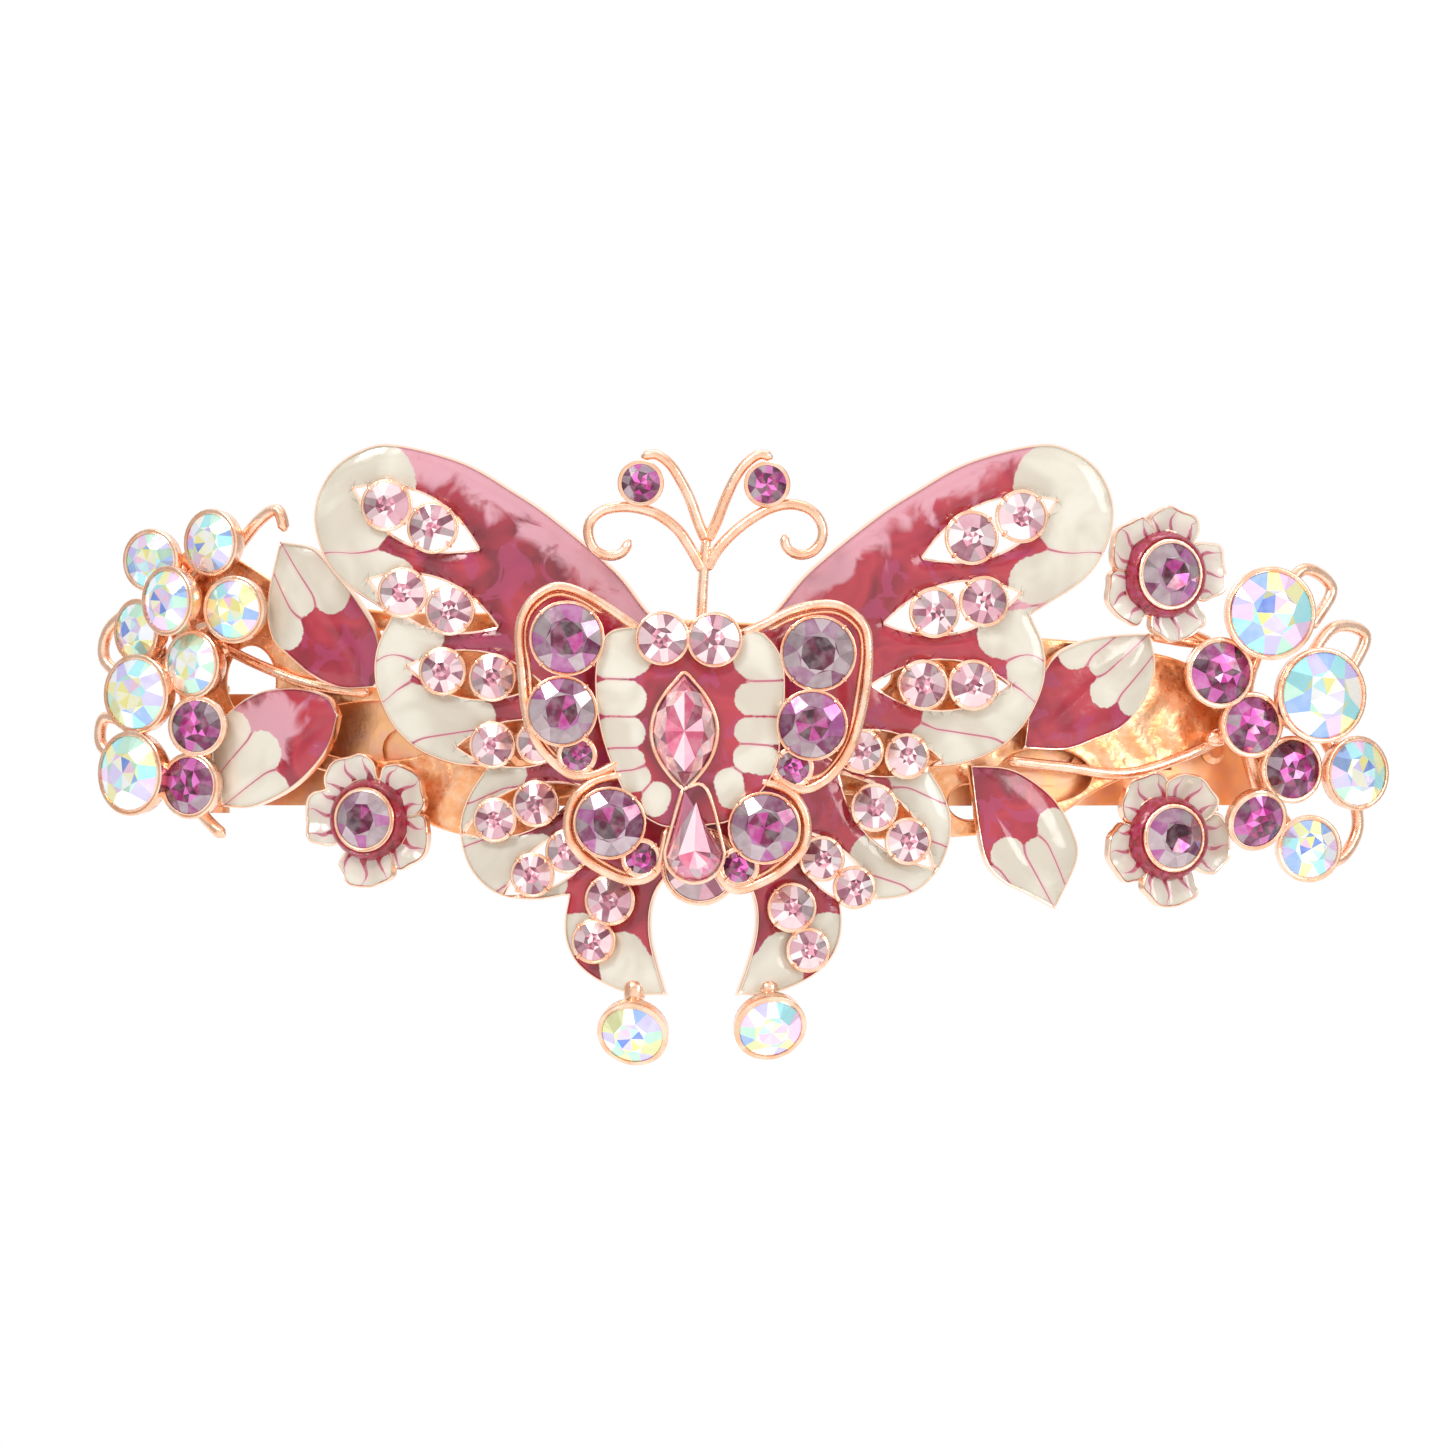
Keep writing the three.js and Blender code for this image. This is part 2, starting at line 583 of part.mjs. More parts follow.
function flowers() {
  for (const flower of FLOWERS) {
    const front = PETAL_LIFT + PETAL_THICKNESS + flower.raised * (PETAL_THICKNESS + GAP);
    const spot = archPlace(flower.x, flower.z, front);
    const petals = flower.petals.map((angle) => {
      const reach = flower.reach * 0.55;
      const petal = disc(flower.reach * 0.44, 0, PETAL_THICKNESS, 12);
      return petal.translate([reach * Math.cos(radians(angle)), 0, reach * Math.sin(radians(angle))]);
    });
    const hub = disc(flower.stone + FLOWER_WALL, -FLOWER_CUP_RISE - CUP_LIP, PETAL_THICKNESS);
    const seat = cupSeat(flower.stone).translate([0, -FLOWER_CUP_RISE, 0]);
    const casting = joined([hub, ...petals]).subtract(seat);
    putMesh(piece(`flower_${flower.name}`, casting, enamel), spot);
    const stone = archPlace(flower.x, flower.z, front + FLOWER_CUP_RISE);
    stone.point.x = spot.point.x + FLOWER_CUP_RISE * Math.sin(spot.turn);
    stone.point.y = spot.point.y - FLOWER_CUP_RISE * Math.cos(spot.turn);
    stone.turn = spot.turn;
    setStones([{ name: `flower_stone_${flower.name}`, radius: flower.stone, spot: stone }], amethyst);
  }
}

// ---------------------------------------------------------------- sprays

const spray = (name, x, z, diameter, lift, turn, pitch = 0) => ({
  name,
  radius: diameter / 2,
  spot: archPlace(x, z, lift, radians(turn), radians(pitch)),
});

const LEFT_CLEAR = [
  spray('clear_stone_left_1', -44.8, 15.3, 4.5, 4.6, -28),
  spray('clear_stone_left_2', -39.8, 16.7, 4.8, 5.4, -36),
  spray('clear_stone_left_3', -43.3, 12, 5, 7.6, -42),
  spray('clear_stone_left_4', -37.9, 11.3, 4.8, 6, -24),
  spray('clear_stone_left_5', -46, 9.6, 4.6, 4.4, -45),
  spray('clear_stone_left_6', -41.3, 6.9, 4.9, 6.2, -36),
  spray('clear_stone_left_7', -45.9, 4.5, 5.8, 6.8, -34),
  spray('clear_stone_left_8', -46.4, -1.9, 6.2, 7, -39),
];
const LEFT_AMETHYST = [
  spray('amethyst_left_1', -40.9, 1.9, 4.3, 6.2, -18),
  spray('amethyst_left_2', -41.5, -2.9, 4.7, 6.2, -29),
];
const RIGHT_CLEAR = [
  spray('clear_stone_right_1', 45.7, 11, 6.9, 7, 14),
  spray('clear_stone_right_2', 49.9, 4.4, 7.1, 7.6, 21),
  spray('clear_stone_right_3', 52.9, -1.9, 5.4, 6.4, 31),
  spray('clear_stone_right_4', 48.9, -8, 4.8, 6, 14),
];
const RIGHT_AMETHYST = [
  spray('amethyst_right_1', 41.6, 6.2, 5.1, 5.2, 18),
  spray('amethyst_right_2', 44.2, 2, 4.7, 5.4, 20),
  spray('amethyst_right_3', 47.5, -1.6, 4.8, 5.4, 24),
  spray('amethyst_right_4', 44.6, -5.7, 4.5, 6.8, 24, 20),
];

// A stalk from the back of a cup to a point of the spine.
function stalk({ radius, spot }, [x, z], lift) {
  const back = new THREE.Vector3(0, cupBack(radius) - CUP_FLOOR / 2, 0).applyMatrix4(matrixOf(spot));
  const front = onArch(x, z, lift);
  return wire([back, back.clone().lerp(front, 0.5), front], SPINE_RADIUS * 0.85, 2);
}

const SPINE_LIFT = frameFront + GAP + SPINE_RADIUS;
const TWIG_LIFT = frameFront + GAP + TWIG_RADIUS;

const along = (points, lift) => points.map(([x, z]) => onArch(x, z, lift));

function sprays() {
  const leftSpine = [
    wire(along([[-27, 4.6], [-31.6, 5.25], [-35.6, 6.7], [-39.6, 8.6]], TWIG_LIFT), TWIG_RADIUS),
    wire(along([[-38.4, 8], [-41.4, 8.2], [-44, 6.6], [-45.4, 3.4], [-46, -0.6]], SPINE_LIFT), SPINE_RADIUS),
    wire(along([[-41.2, 7.6], [-41.4, 11], [-41.9, 14.2]], SPINE_LIFT), SPINE_RADIUS),
    wire(along([[-42.4, 7.4], [-41.7, 3.6], [-41.4, -1.4]], SPINE_LIFT), SPINE_RADIUS),
    wire(along([[-46.6, 11.4], [-48.4, 9.6], [-48.7, 7.4], [-47, 5.6]], SPINE_LIFT + 1), LOOP_RADIUS),
    wire(along([[-46.4, 2], [-48.6, 2.6], [-49, 0.6], [-47.6, -1]], SPINE_LIFT + 1.5), LOOP_RADIUS),
    wire(along([[-38.4, 15.4], [-36, 18.4], [-34.4, 19.3], [-33.8, 17.6]], SPINE_LIFT + 0.6), LOOP_RADIUS),
    wire(along([[-41.8, -3.4], [-40.2, -5.6], [-38.7, -7]], SPINE_LIFT + 2), LOOP_RADIUS),
  ];
  const leftStones = [...LEFT_CLEAR, ...LEFT_AMETHYST];
  const leftRoots = [
    [-42, 14], [-41.7, 13.6], [-41.5, 11.4], [-41.2, 9.6], [-44, 6.8], [-41.6, 7.4], [-44.8, 5], [-45.8, 0],
    [-41.6, 2.6], [-41.5, -1.6],
  ];
  const leftStalks = leftStones.map((stone, i) => stalk(stone, leftRoots[i], SPINE_LIFT));
  piece('spray_left', withCups(joined([...leftSpine, ...leftStalks]), leftStones, 0.5), roseGold);

  const rightSpine = [
    wire(along([[24.4, -0.9], [29, -1.4], [34, -1.9], [38.6, -0.6], [42.4, 1.2]], TWIG_LIFT), TWIG_RADIUS),
    wire(along([[40.6, 0.8], [44, 1.6], [47, 2.4], [49.6, 3.6]], SPINE_LIFT), SPINE_RADIUS),
    wire(along([[43.6, 1.4], [43.8, 5.4], [45.4, 9.6]], SPINE_LIFT), SPINE_RADIUS),
    wire(along([[43.8, 1.6], [45, -3], [47.8, -7]], SPINE_LIFT), SPINE_RADIUS),
    wire(along([[45.6, 8.4], [40, 8.6], [36, 9.2]], TWIG_LIFT), TWIG_RADIUS),
    wire(along([[46.6, 12.6], [48.6, 14.6], [50.8, 13], [49, 9.8]], SPINE_LIFT + 2.6), LOOP_RADIUS),
    wire(along([[48.6, 7], [51, 9.9], [53.6, 9.2], [52, 5.6]], SPINE_LIFT + 2.8), LOOP_RADIUS),
    wire(along([[52.6, -3], [53, -6.4], [51.6, -8.8], [49.6, -9]], SPINE_LIFT + 2), LOOP_RADIUS),
  ];
  const rightStones = [...RIGHT_CLEAR, ...RIGHT_AMETHYST];
  const rightRoots = [
    [45.2, 9.2], [49.4, 3.5], [49.4, 3.4], [47.6, -6.8], [43.8, 5], [44.2, 1.8], [44.8, -2], [45.4, -4],
  ];
  const rightStalks = rightStones.map((stone, i) => stalk(stone, rightRoots[i], SPINE_LIFT));
  piece('spray_right', withCups(joined([...rightSpine, ...rightStalks]), rightStones, 0.5), roseGold);

  setStones([...LEFT_CLEAR, ...RIGHT_CLEAR], clearGlass);
  setStones([...LEFT_AMETHYST, ...RIGHT_AMETHYST], amethyst);
}

// ---------------------------------------------------------------- large butterfly

// The right wing's outline in the plane of the butterfly; the left one mirrors it.
const WING = [
  [-WING_JOIN, 8],
  [[1.6, 8]],
  [
    [5, 11], [7.7, 14.3], [12.6, 18.4], [16, 20.7], [20.3, 23.1], [25.8, 24.5], [28.6, 24], [30.8, 22.4],
    [32, 19.8], [31.8, 17], [30, 13.8], [25.6, 10.8],
  ],
  [[26.7, 8.4], [26.9, 6], [26.3, 3.8], [25.1, 1.7], [23.2, 0], [20.5, -1.1], [17.7, -1.4]],
  [[19.1, -3.7], [19.7, -6], [19.3, -8.4], [18.2, -10.3], [16.4, -11.6], [13.6, -12], [10.8, -11.6]],
  [[11.1, -13.6], [10.9, -15.4], [10, -17.1], [8.2, -18.5], [5.6, -19.5], [2.8, -19.6]],
  [[3.6, -17.2], [4.2, -14.6], [4.1, -12.2], [3.2, -10.3], [1.5, -9]],
  [[-WING_JOIN, -9]],
];

// The wing stones, in pairs along each vein: [x, z, radius] as they are seen from the front.
const WING_STONES = {
  left: [
    [[-25.3, 19.6, 1.9], [-21.6, 17.8, 1.9]],
    [[-24, 12.6, 1.85], [-20.2, 11.2, 1.85]],
    [[-20.8, 6.3, 1.75], [-16.8, 5.8, 1.75]],
    [[-16.8, 0.4, 1.7], [-13.2, 0.6, 1.55]],
    [[-16.6, -5.6, 1.6], [-13.3, -4.3, 1.7]],
    [[-13.6, -10, 1.6], [-10.8, -8.1, 1.6]],
    [[-7.4, -12, 1.85], [-8.7, -15.3, 1.6]],
  ],
  right: [
    [[25.3, 18.7, 1.95], [21.3, 17, 2]],
    [[22.3, 11.9, 1.85], [18.3, 11, 1.85]],
    [[21.4, 5.2, 1.85], [17.4, 5.2, 1.85]],
    [[16.1, -0.5, 1.65], [12.5, -0.1, 1.6]],
    [[16.2, -7.3, 1.7], [13.5, -4.6, 1.75]],
    [[11.9, -11, 1.55], [9.3, -8.7, 1.65]],
    [[6.9, -12.6, 1.8], [8.2, -16, 1.6]],
  ],
};
const WINDOWED_PAIRS = 6;
const WINDOW_REACH_IN = 2.1;
const WINDOW_REACH_OUT = 1.3;
const WINDOW_WIDTH = 1.06;
const WING_CUP_WALL = 0.3;

// The butterfly's own plane stands at the front of the wings, and its upright lines lean to the right.
const lean = Math.tan(WING_LEAN);
const butterflyPlane = new THREE.Matrix4()
  .makeTranslation(WING_X, WING_FRONT, 0)
  .multiply(new THREE.Matrix4().makeShear(0, 0, 0, 0, lean, 0));

// A point seen from the front, in the flat plane of a right wing or of a mirrored left wing.
function onWing(x, z, side) {
  const away = x - WING_X - z * lean;
  return [(side * away) / Math.cos(WING_SWEEP), z];
}

function wingCasting(side) {
  const stretch = 1 / Math.cos(WING_SWEEP);
  const [start, ...stretches] = WING;
  const wide = ([x, z]) => [x * stretch, z];
  const edge = outline(wide(start), ...stretches.map((points) => points.map(wide)));
  const plate = prism(edge, 0, WING_THICKNESS, 1);
  const pairs = WING_STONES[side > 0 ? 'right' : 'left'].map((pair) =>
    pair.map(([x, z, radius]) => ({ centre: onWing(x, z, side), radius })),
  );
  const windows = pairs.slice(0, WINDOWED_PAIRS).map(([outer, inner]) => {
    const [dx, dz] = [outer.centre[0] - inner.centre[0], outer.centre[1] - inner.centre[1]];
    const length = Math.hypot(dx, dz);
    const tip = ({ centre, radius }, beyond) => {
      const reach = (Math.sign(beyond) * radius + beyond) / length;
      return [centre[0] + dx * reach, centre[1] + dz * reach];
    };
    const ends = [tip(inner, -WINDOW_REACH_IN), tip(outer, WINDOW_REACH_OUT)];
    const shape = eye(...ends, outer.radius * WINDOW_WIDTH);
    return prism(shape, -1, WING_THICKNESS + 1, 3);
  });
  const cups = pairs.flat().map(({ centre, radius }) => {
    const cup = disc(radius + SEAT_GAP + WING_CUP_WALL, -WING_CUP_RISE, WING_THICKNESS, 8);
    return cup.translate([centre[0], 0, centre[1]]);
  });
  const seats = pairs.flat().map(({ centre, radius }) =>
    disc(radius + SEAT_GAP, -WING_CUP_RISE - 1, WING_CUP_FLOOR, 8).translate([centre[0], 0, centre[1]]),
  );
  const flat = cut(joined([cut(plate, windows), ...cups]), seats);
  const facing = side > 0 ? flat : flat.mirror([1, 0, 0]);
  const swept = new THREE.Matrix4().makeRotationZ(side * WING_SWEEP);
  return facing.transform(butterflyPlane.clone().multiply(swept).elements);
}

const ABDOMEN = { name: 'abdomen_stone', radius: 2.8, spot: place(-0.3, WING_FRONT - 1, -9.3) };
const TAIL_PITCH = radians(30);
const tailPlace = (x, z, turn) => place(x, WING_FRONT + 0.4, z, radians(turn), TAIL_PITCH);
const TAILS = [
  { name: 'tail_stone_left', radius: 2.55, spot: tailPlace(-5.7, -22.7, -12) },
  { name: 'tail_stone_right', radius: 2.6, spot: tailPlace(5.3, -22.2, 12) },
];

function largeButterfly() {
  const necks = TAILS.map(({ radius, spot }) => {
    const back = new THREE.Vector3(0, cupBack(radius) * 0.7, radius * 0.6).applyMatrix4(matrixOf(spot));
    const tail = new THREE.Vector3(spot.point.x * 0.98, WING_FRONT + WING_THICKNESS + 0.9, -18.2);
    return wire([tail, tail.clone().lerp(back, 0.5), back], 0.9, 2);
  });
  const body = joined([wingCasting(1), wingCasting(-1), ...necks]);
  const hole = rivetHole(butterflyPost).translate([0, WING_FRONT - BAR_FRONT, 0]);
  piece('large_butterfly', withCups(body, [ABDOMEN, ...TAILS], 0.45).subtract(hole), enamel);
  setStones([ABDOMEN], pinkGlass);
  setStones(TAILS, clearGlass);
}

// ---------------------------------------------------------------- small butterfly

const SMALL_GIRDLE = SMALL_FRONT - 0.8;
const small = (name, x, z, diameter, drop = 0) => ({
  name,
  radius: diameter / 2,
  spot: place(x, SMALL_GIRDLE + drop, z),
});

const WING_AMETHYST = [
  small('wing_amethyst_upper_left_1', -10.9, 8.9, 5.7),
  small('wing_amethyst_upper_left_2', -11.3, 3.1, 5.4),
  small('wing_amethyst_lower_left', -7.5, -5.8, 5.5),
  small('wing_amethyst_upper_right_1', 9.1, 7.7, 5.8),
  small('wing_amethyst_upper_right_2', 8.6, 2, 5.4),
  small('wing_amethyst_lower_right', 4.8, -6.2, 5.5),
];
const HEAD_STONES = [small('head_stone_left', -3.3, 8.9, 4), small('head_stone_right', 0.85, 8.8, 4.1)];

// Small stones set lower, partly under the large ones: only their cups are made here.
const SMALL_DROP = 0.9;
const ACCENTS = [
  small('', -10.1, -0.4, 2.6, SMALL_DROP),
  small('', 7.1, -1.4, 2.7, SMALL_DROP),
  small('', -5, -8.6, 2.6, SMALL_DROP),
  small('', 2.8, -9.3, 2.6, SMALL_DROP),
];

const UPPER_LOOPS = [
  [
    [-5.2, 9.6], [-7.8, 11.4], [-9.9, 12.6], [-11.8, 13], [-13.4, 12.2],
    [-14.4, 10.8], [-14.7, 9], [-14.5, 6.4],
    [-14.2, 3.4], [-13.6, 1.3], [-12.5, -0.4], [-10.6, -1.9], [-8.7, -1.9], [-6.6, -0.9],
  ],
  [
    [3, 9.2], [4.8, 10], [7.3, 11.2], [10, 11.6], [11.7, 11], [12.8, 9.8], [13.1, 8], [13, 5.9],
    [12.7, 3.8], [12.1, 1.4], [11.2, -0.6], [9.6, -2.4], [7.6, -3.1], [5.4, -1.8],
  ],
];
const LOWER_LOOPS = [
  [
    [-6.4, -1.9], [-8.7, -2.5], [-10.2, -3.7], [-10.8, -5.3], [-10.7, -7], [-9.7, -8.4], [-8, -9.6],
    [-5.6, -10.4], [-3.7, -9.4], [-2.9, -6.2],
  ],
  [
    [4.4, -2.4], [6.6, -3.2], [7.8, -4.5], [8.2, -6], [8, -7.6], [6.9, -9], [5, -10.3], [2.6, -11.1],
    [1.2, -9.8], [0.5, -6.4],
  ],
];

// The plate between the loops, with the marquise and the tapered stone on it.
const SMALL_PLATE = [
  [-4.6, 10],
  [[-7.6, 9.4], [-8.6, 7], [-8.6, 3.6], [-8, 0.6], [-7.2, -1.6], [-5.8, -4.4], [-3.6, -6], [-1.6, -6.2]],
  [
    [0.4, -6], [2.2, -5.6], [4.2, -3.8], [5.8, -1.4], [6.2, 1.6],
    [6.5, 4.6], [6.2, 7.4], [4.6, 9.4], [2.2, 9.6],
  ],
  [[-4.6, 10]],
];

const MARQUISE = { x: -1.55, z: 1.5, halfLength: 4.5, halfWidth: 2.5 };
const PEAR = { x: -0.75, top: -3.2, bottom: -10.4, topHalf: 0.8, bottomHalf: 2.25 };

function marquiseShape(grow) {
  const reach = MARQUISE.halfLength + grow * 1.4;
  const { x, z, halfWidth } = MARQUISE;
  return eye([x, z - reach], [x, z + reach], halfWidth + grow);
}

function pearShape(grow) {
  const shape = new THREE.Shape();
  const { x, top, bottom, topHalf, bottomHalf } = PEAR;
  shape.moveTo(x - topHalf - grow, top + grow);
  shape.lineTo(x + topHalf + grow, top + grow);
  shape.lineTo(x + bottomHalf + grow, bottom + bottomHalf);
  shape.quadraticCurveTo(x + bottomHalf * 0.8 + grow, bottom - grow, x, bottom - grow);
  const side = x - bottomHalf - grow;
  shape.quadraticCurveTo(x - bottomHalf * 0.8 - grow, bottom - grow, side, bottom + bottomHalf);
  return shape;
}

// A cut stone of any outline: a girdle band with a smaller table plate in front of it.
function fancyStone(shapeOf, front, back) {
  const girdle = prism(shapeOf(0), front + 0.7, back, 5);
  const crown = prism(shapeOf(-0.7), front, front + 0.8, 5);
  return girdle.add(crown);
}

const FANCY_BACK = SMALL_FRONT - 0.3;
const FANCY_FRONT = SMALL_GIRDLE - 1.1;

function smallButterfly() {
  const loopY = SMALL_FRONT + SMALL_THICKNESS - LOOP_RADIUS;
  const loops = [...UPPER_LOOPS, ...LOWER_LOOPS].map((points) =>
    wire(points.map(([x, z]) => new THREE.Vector3(x, loopY - 0.4, z)), LOOP_RADIUS),
  );
  const [start, ...stretches] = SMALL_PLATE;
  const plate = prism(outline(start, ...stretches), SMALL_FRONT, SMALL_FRONT + SMALL_THICKNESS, 1);
  const settings = [marquiseShape, pearShape].map((shapeOf) =>
    prism(shapeOf(SEAT_GAP + 0.35), FANCY_BACK - 0.9, SMALL_FRONT + SMALL_THICKNESS, 5),
  );
  const beds = [marquiseShape, pearShape].map((shapeOf) =>
    prism(shapeOf(SEAT_GAP), -40, FANCY_BACK + SEAT_GAP, 5),
  );
  const stones = [...WING_AMETHYST, ...HEAD_STONES, ...ACCENTS];
  const body = joined([plate, ...loops, ...settings]);
  piece('small_butterfly', cut(withCups(body, stones, 0.32), beds), roseGold);
  setStones(WING_AMETHYST, amethyst);
  setStones(HEAD_STONES, pinkGlass);
  piece('marquise_stone', fancyStone(marquiseShape, FANCY_FRONT, FANCY_BACK), pinkGlass);
  piece('pear_stone', fancyStone(pearShape, FANCY_FRONT + 0.3, FANCY_BACK), pinkGlass);
}

function butterflyRivet() {
  const front = SMALL_FRONT + SMALL_THICKNESS + 2 * GAP - butterflyPost.point.y;
  const slope = RIVET_HEAD * Math.tan(WING_SWEEP);
  const collar = WING_FRONT + WING_THICKNESS + 2 * GAP + slope - butterflyPost.point.y;
  const shape = turned(
    [
      [0, front],
      [RIVET_RADIUS, front],
      [RIVET_RADIUS, collar],
      [RIVET_HEAD, collar],
      [RIVET_HEAD, -frameFront - GAP],
      [RIVET_RADIUS, -frameFront - GAP],
      [RIVET_RADIUS, BAR_THICKNESS + GAP / 2],
      [RIVET_HEAD, BAR_THICKNESS + GAP / 2],
      [RIVET_HEAD * 0.6, BAR_THICKNESS + RIVET_HEAD_HEIGHT],
      [0, BAR_THICKNESS + RIVET_HEAD_HEIGHT],
    ],
    12,
  );
  putMesh(piece('butterfly_rivet', shape, giltSteel), butterflyPost);
}

// ---------------------------------------------------------------- antennae

const ANTENNA_Y = WING_FRONT - GAP - ANTENNA_RADIUS;
const ANTENNA_STONES = [
  { name: 'antenna_stone_left', radius: 1.6, spot: place(-5.04, ANTENNA_Y - 0.4, 21.3) },
  { name: 'antenna_stone_right', radius: 1.6, spot: place(5.04, ANTENNA_Y - 0.4, 21.2) },
];
const ANTENNA_WIRES = [
  [[-0.3, 6.4], [-0.2, 10.8], [0, 14.4], [0.2, 17]],
  [[0, 14.2], [-1, 16], [-2.1, 17.6], [-3.7, 18.8], [-5.3, 19.3], [-6.7, 19.4], [-8.1, 19.1], [-9.1, 18.2],
    [-9.2, 17], [-8.6, 15.9], [-7.5, 15.5], [-6.5, 15.8], [-5.9, 16.8]],
  [[0.2, 16.6], [-0.5, 18.3], [-1.1, 20], [-1.9, 21.6], [-2.8, 22.9], [-3.9, 23.6], [-5, 23.4]],
  [[0.2, 16.6], [1, 18.2], [1.7, 20], [2.5, 21.7], [3.4, 22.9], [4.5, 23.6], [5.5, 23.3]],
  [[0.1, 14.3], [1.1, 16], [2.4, 17.4], [4, 18.6], [5.6, 19.4], [7.2, 19.6], [8.6, 19.1], [9.4, 18],
    [9.4, 16.8], [8.6, 15.8], [7.5, 15.6], [6.6, 16.2], [6.4, 17.2]],
];

function antennae() {
  const wires = ANTENNA_WIRES.map((points) => {
    const path = points.map(([x, z]) => new THREE.Vector3(x, ANTENNA_Y, z));
    return wire(path, ANTENNA_RADIUS);
  });
  piece('antennae', withCups(joined(wires), ANTENNA_STONES, 0.35), roseGold);
  setStones(ANTENNA_STONES, amethyst);
}

// ---------------------------------------------------------------- the whole clip

clipBar();
clipArm();
tensionBow();
hingePin();
catchParts();
baseFrame();
leaves();
flowers();
sprays();
largeButterfly();
smallButterfly();
butterflyRivet();
antennae();

export default root;
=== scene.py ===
"""Looks of the rhinestone hair clip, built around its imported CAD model.

Lengths in this script are millimetres until Shape.finish turns them into metres.
+X runs along the clip, +Z is up as it is worn, and the decorated front faces -Y.
"""

import math
import random

import bmesh
import bpy
import numpy as np
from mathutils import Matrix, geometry


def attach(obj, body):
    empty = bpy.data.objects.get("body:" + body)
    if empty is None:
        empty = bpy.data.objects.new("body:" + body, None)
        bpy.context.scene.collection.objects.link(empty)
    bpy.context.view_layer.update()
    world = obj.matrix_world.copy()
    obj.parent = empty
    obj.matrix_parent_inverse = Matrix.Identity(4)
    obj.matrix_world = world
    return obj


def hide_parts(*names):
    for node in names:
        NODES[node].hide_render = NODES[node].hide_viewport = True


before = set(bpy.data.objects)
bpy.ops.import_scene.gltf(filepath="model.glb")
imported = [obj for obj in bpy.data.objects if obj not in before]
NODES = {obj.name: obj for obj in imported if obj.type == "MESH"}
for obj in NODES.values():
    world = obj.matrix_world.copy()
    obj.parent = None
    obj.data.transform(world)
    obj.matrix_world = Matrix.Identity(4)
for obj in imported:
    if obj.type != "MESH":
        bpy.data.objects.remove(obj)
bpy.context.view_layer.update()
MM = 0.001

# ---- sizes shared with the CAD part

ARCH_RADIUS = 80
ARCH_X = 2
BAR_FRONT = -7.3
ARCH_Y = BAR_FRONT + ARCH_RADIUS
FRAME_LIFT = 0.9
FRAME_THICKNESS = 0.8
TWIG_LIFT = 2.3
TWIG_RADIUS = 0.45
STEM_RADIUS = 0.6
CURL_RADIUS = 0.5
SPINE_LIFT = 2.65
SPINE_RADIUS = 0.8
PETAL_LIFT = 2.9
PETAL_THICKNESS = 0.8
FLOWER_CUP_RISE = 1.5
WING_FRONT = -14
WING_THICKNESS = 1.2
WING_SWEEP = math.radians(10)
WING_LEAN = math.radians(1.5)
WING_X = 0.3
SMALL_FRONT = -18.2
SMALL_THICKNESS = 1.2
SMALL_GIRDLE = -19.0
LOOP_RADIUS = 0.4
ANTENNA_RADIUS = 0.46
ANTENNA_Y = -14.63

# Height of a stone's crown and depth of its back, as shares of its radius
CROWN = 0.34
PAVILION = 0.62

# ---- colours


def srgb(code):
    """A screen colour in hexadecimal as the linear colour that a shader takes."""
    shares = [value / 255 for value in bytes.fromhex(code)]
    linear = [s / 12.92 if s <= 0.04045 else ((s + 0.055) / 1.055) ** 2.4 for s in shares]
    return (*linear, 1)


WHITE = (1, 1, 1, 1)
CREAM = srgb("dcd6c7")
CREAM_SHADE = srgb("cac0af")
RED = srgb("a01e34")
DEEP_RED = srgb("7c1026")
MAGENTA = srgb("a8345e")
LIGHT_PINK = srgb("dea0ac")
BRIGHT_RED = srgb("b42e3e")
DUSTY_PINK = srgb("d8a0ac")
VEIN = srgb("b24a66")
GOLD = srgb("ffd8be")
GOLD_SHADE = srgb("f8c09e")
ORANGE_GOLD = srgb("f6ae78")
PALE_ORANGE = srgb("fac49c")
GILT = srgb("ffc48e")

# The tints of a stone's facets: of the crown round its table, the stone's colour mixed with painted glints,
# and of the mirror, which also give its painted reflection in the star seen through the table
CROWN_TINTS_AND_GLINTS = {
    "amethyst": "ac969a a08a90 9a6c86 bca8ae 742452 ae5896",
    "plum": "963274 6e184c c45aa6 a08894 82225c 541038",
    "pink": "eeccd0 fae8ea d69eac b2989c f0d2d6 985a6c",
    "clear": "eef4fc aaecf2 d0c8fa f8f4b4 f0d0f0 c0ead4 9cbcf0 fffaf0 e4e6a8",
    "rose": "e8b2c2 c4a8b0 d6829e f6d4dc a05470",
}
FOIL_TINTS_AND_REFLECTIONS = {
    "amethyst": "760e44 4e0628 b42e86 3e0420 620c34",
    "plum": "c42c90 780e4a f06ece 500830 a01e68",
    "pink": "eca0b2 a05064 ffe4e8 c4768a 7e3e50",
    "clear": "ffffe8 ffffff cefaff 7896e6 faf096 e2d8ff fffcd6 facee6",
    "rose": "e26e8e fab4c6 8c2c4c ffd6de c45070",
}

# ---- material helpers


class Graph:
    """A node tree, with short ways to add the nodes that this scene uses."""

    def __init__(self, tree):
        self.tree = tree

    def add(self, kind, inputs=None, **settings):
        node = self.tree.nodes.new(kind)
        for key, value in settings.items():
            setattr(node, key, value)
        for key, value in (inputs or {}).items():
            self.feed(node.inputs[key], value)
        return node

    def feed(self, socket, value):
        if isinstance(value, bpy.types.NodeSocket):
            self.tree.links.new(value, socket)
        else:
            socket.default_value = value

    def math(self, operation, *values):
        return self.add("ShaderNodeMath", dict(enumerate(values)), operation=operation).outputs[0]

    def step(self, value, low, high, start=0, end=1):
        inputs = {0: value, 1: low, 2: high, 3: start, 4: end}
        return self.add("ShaderNodeMapRange", inputs, interpolation_type="SMOOTHSTEP").outputs[0]


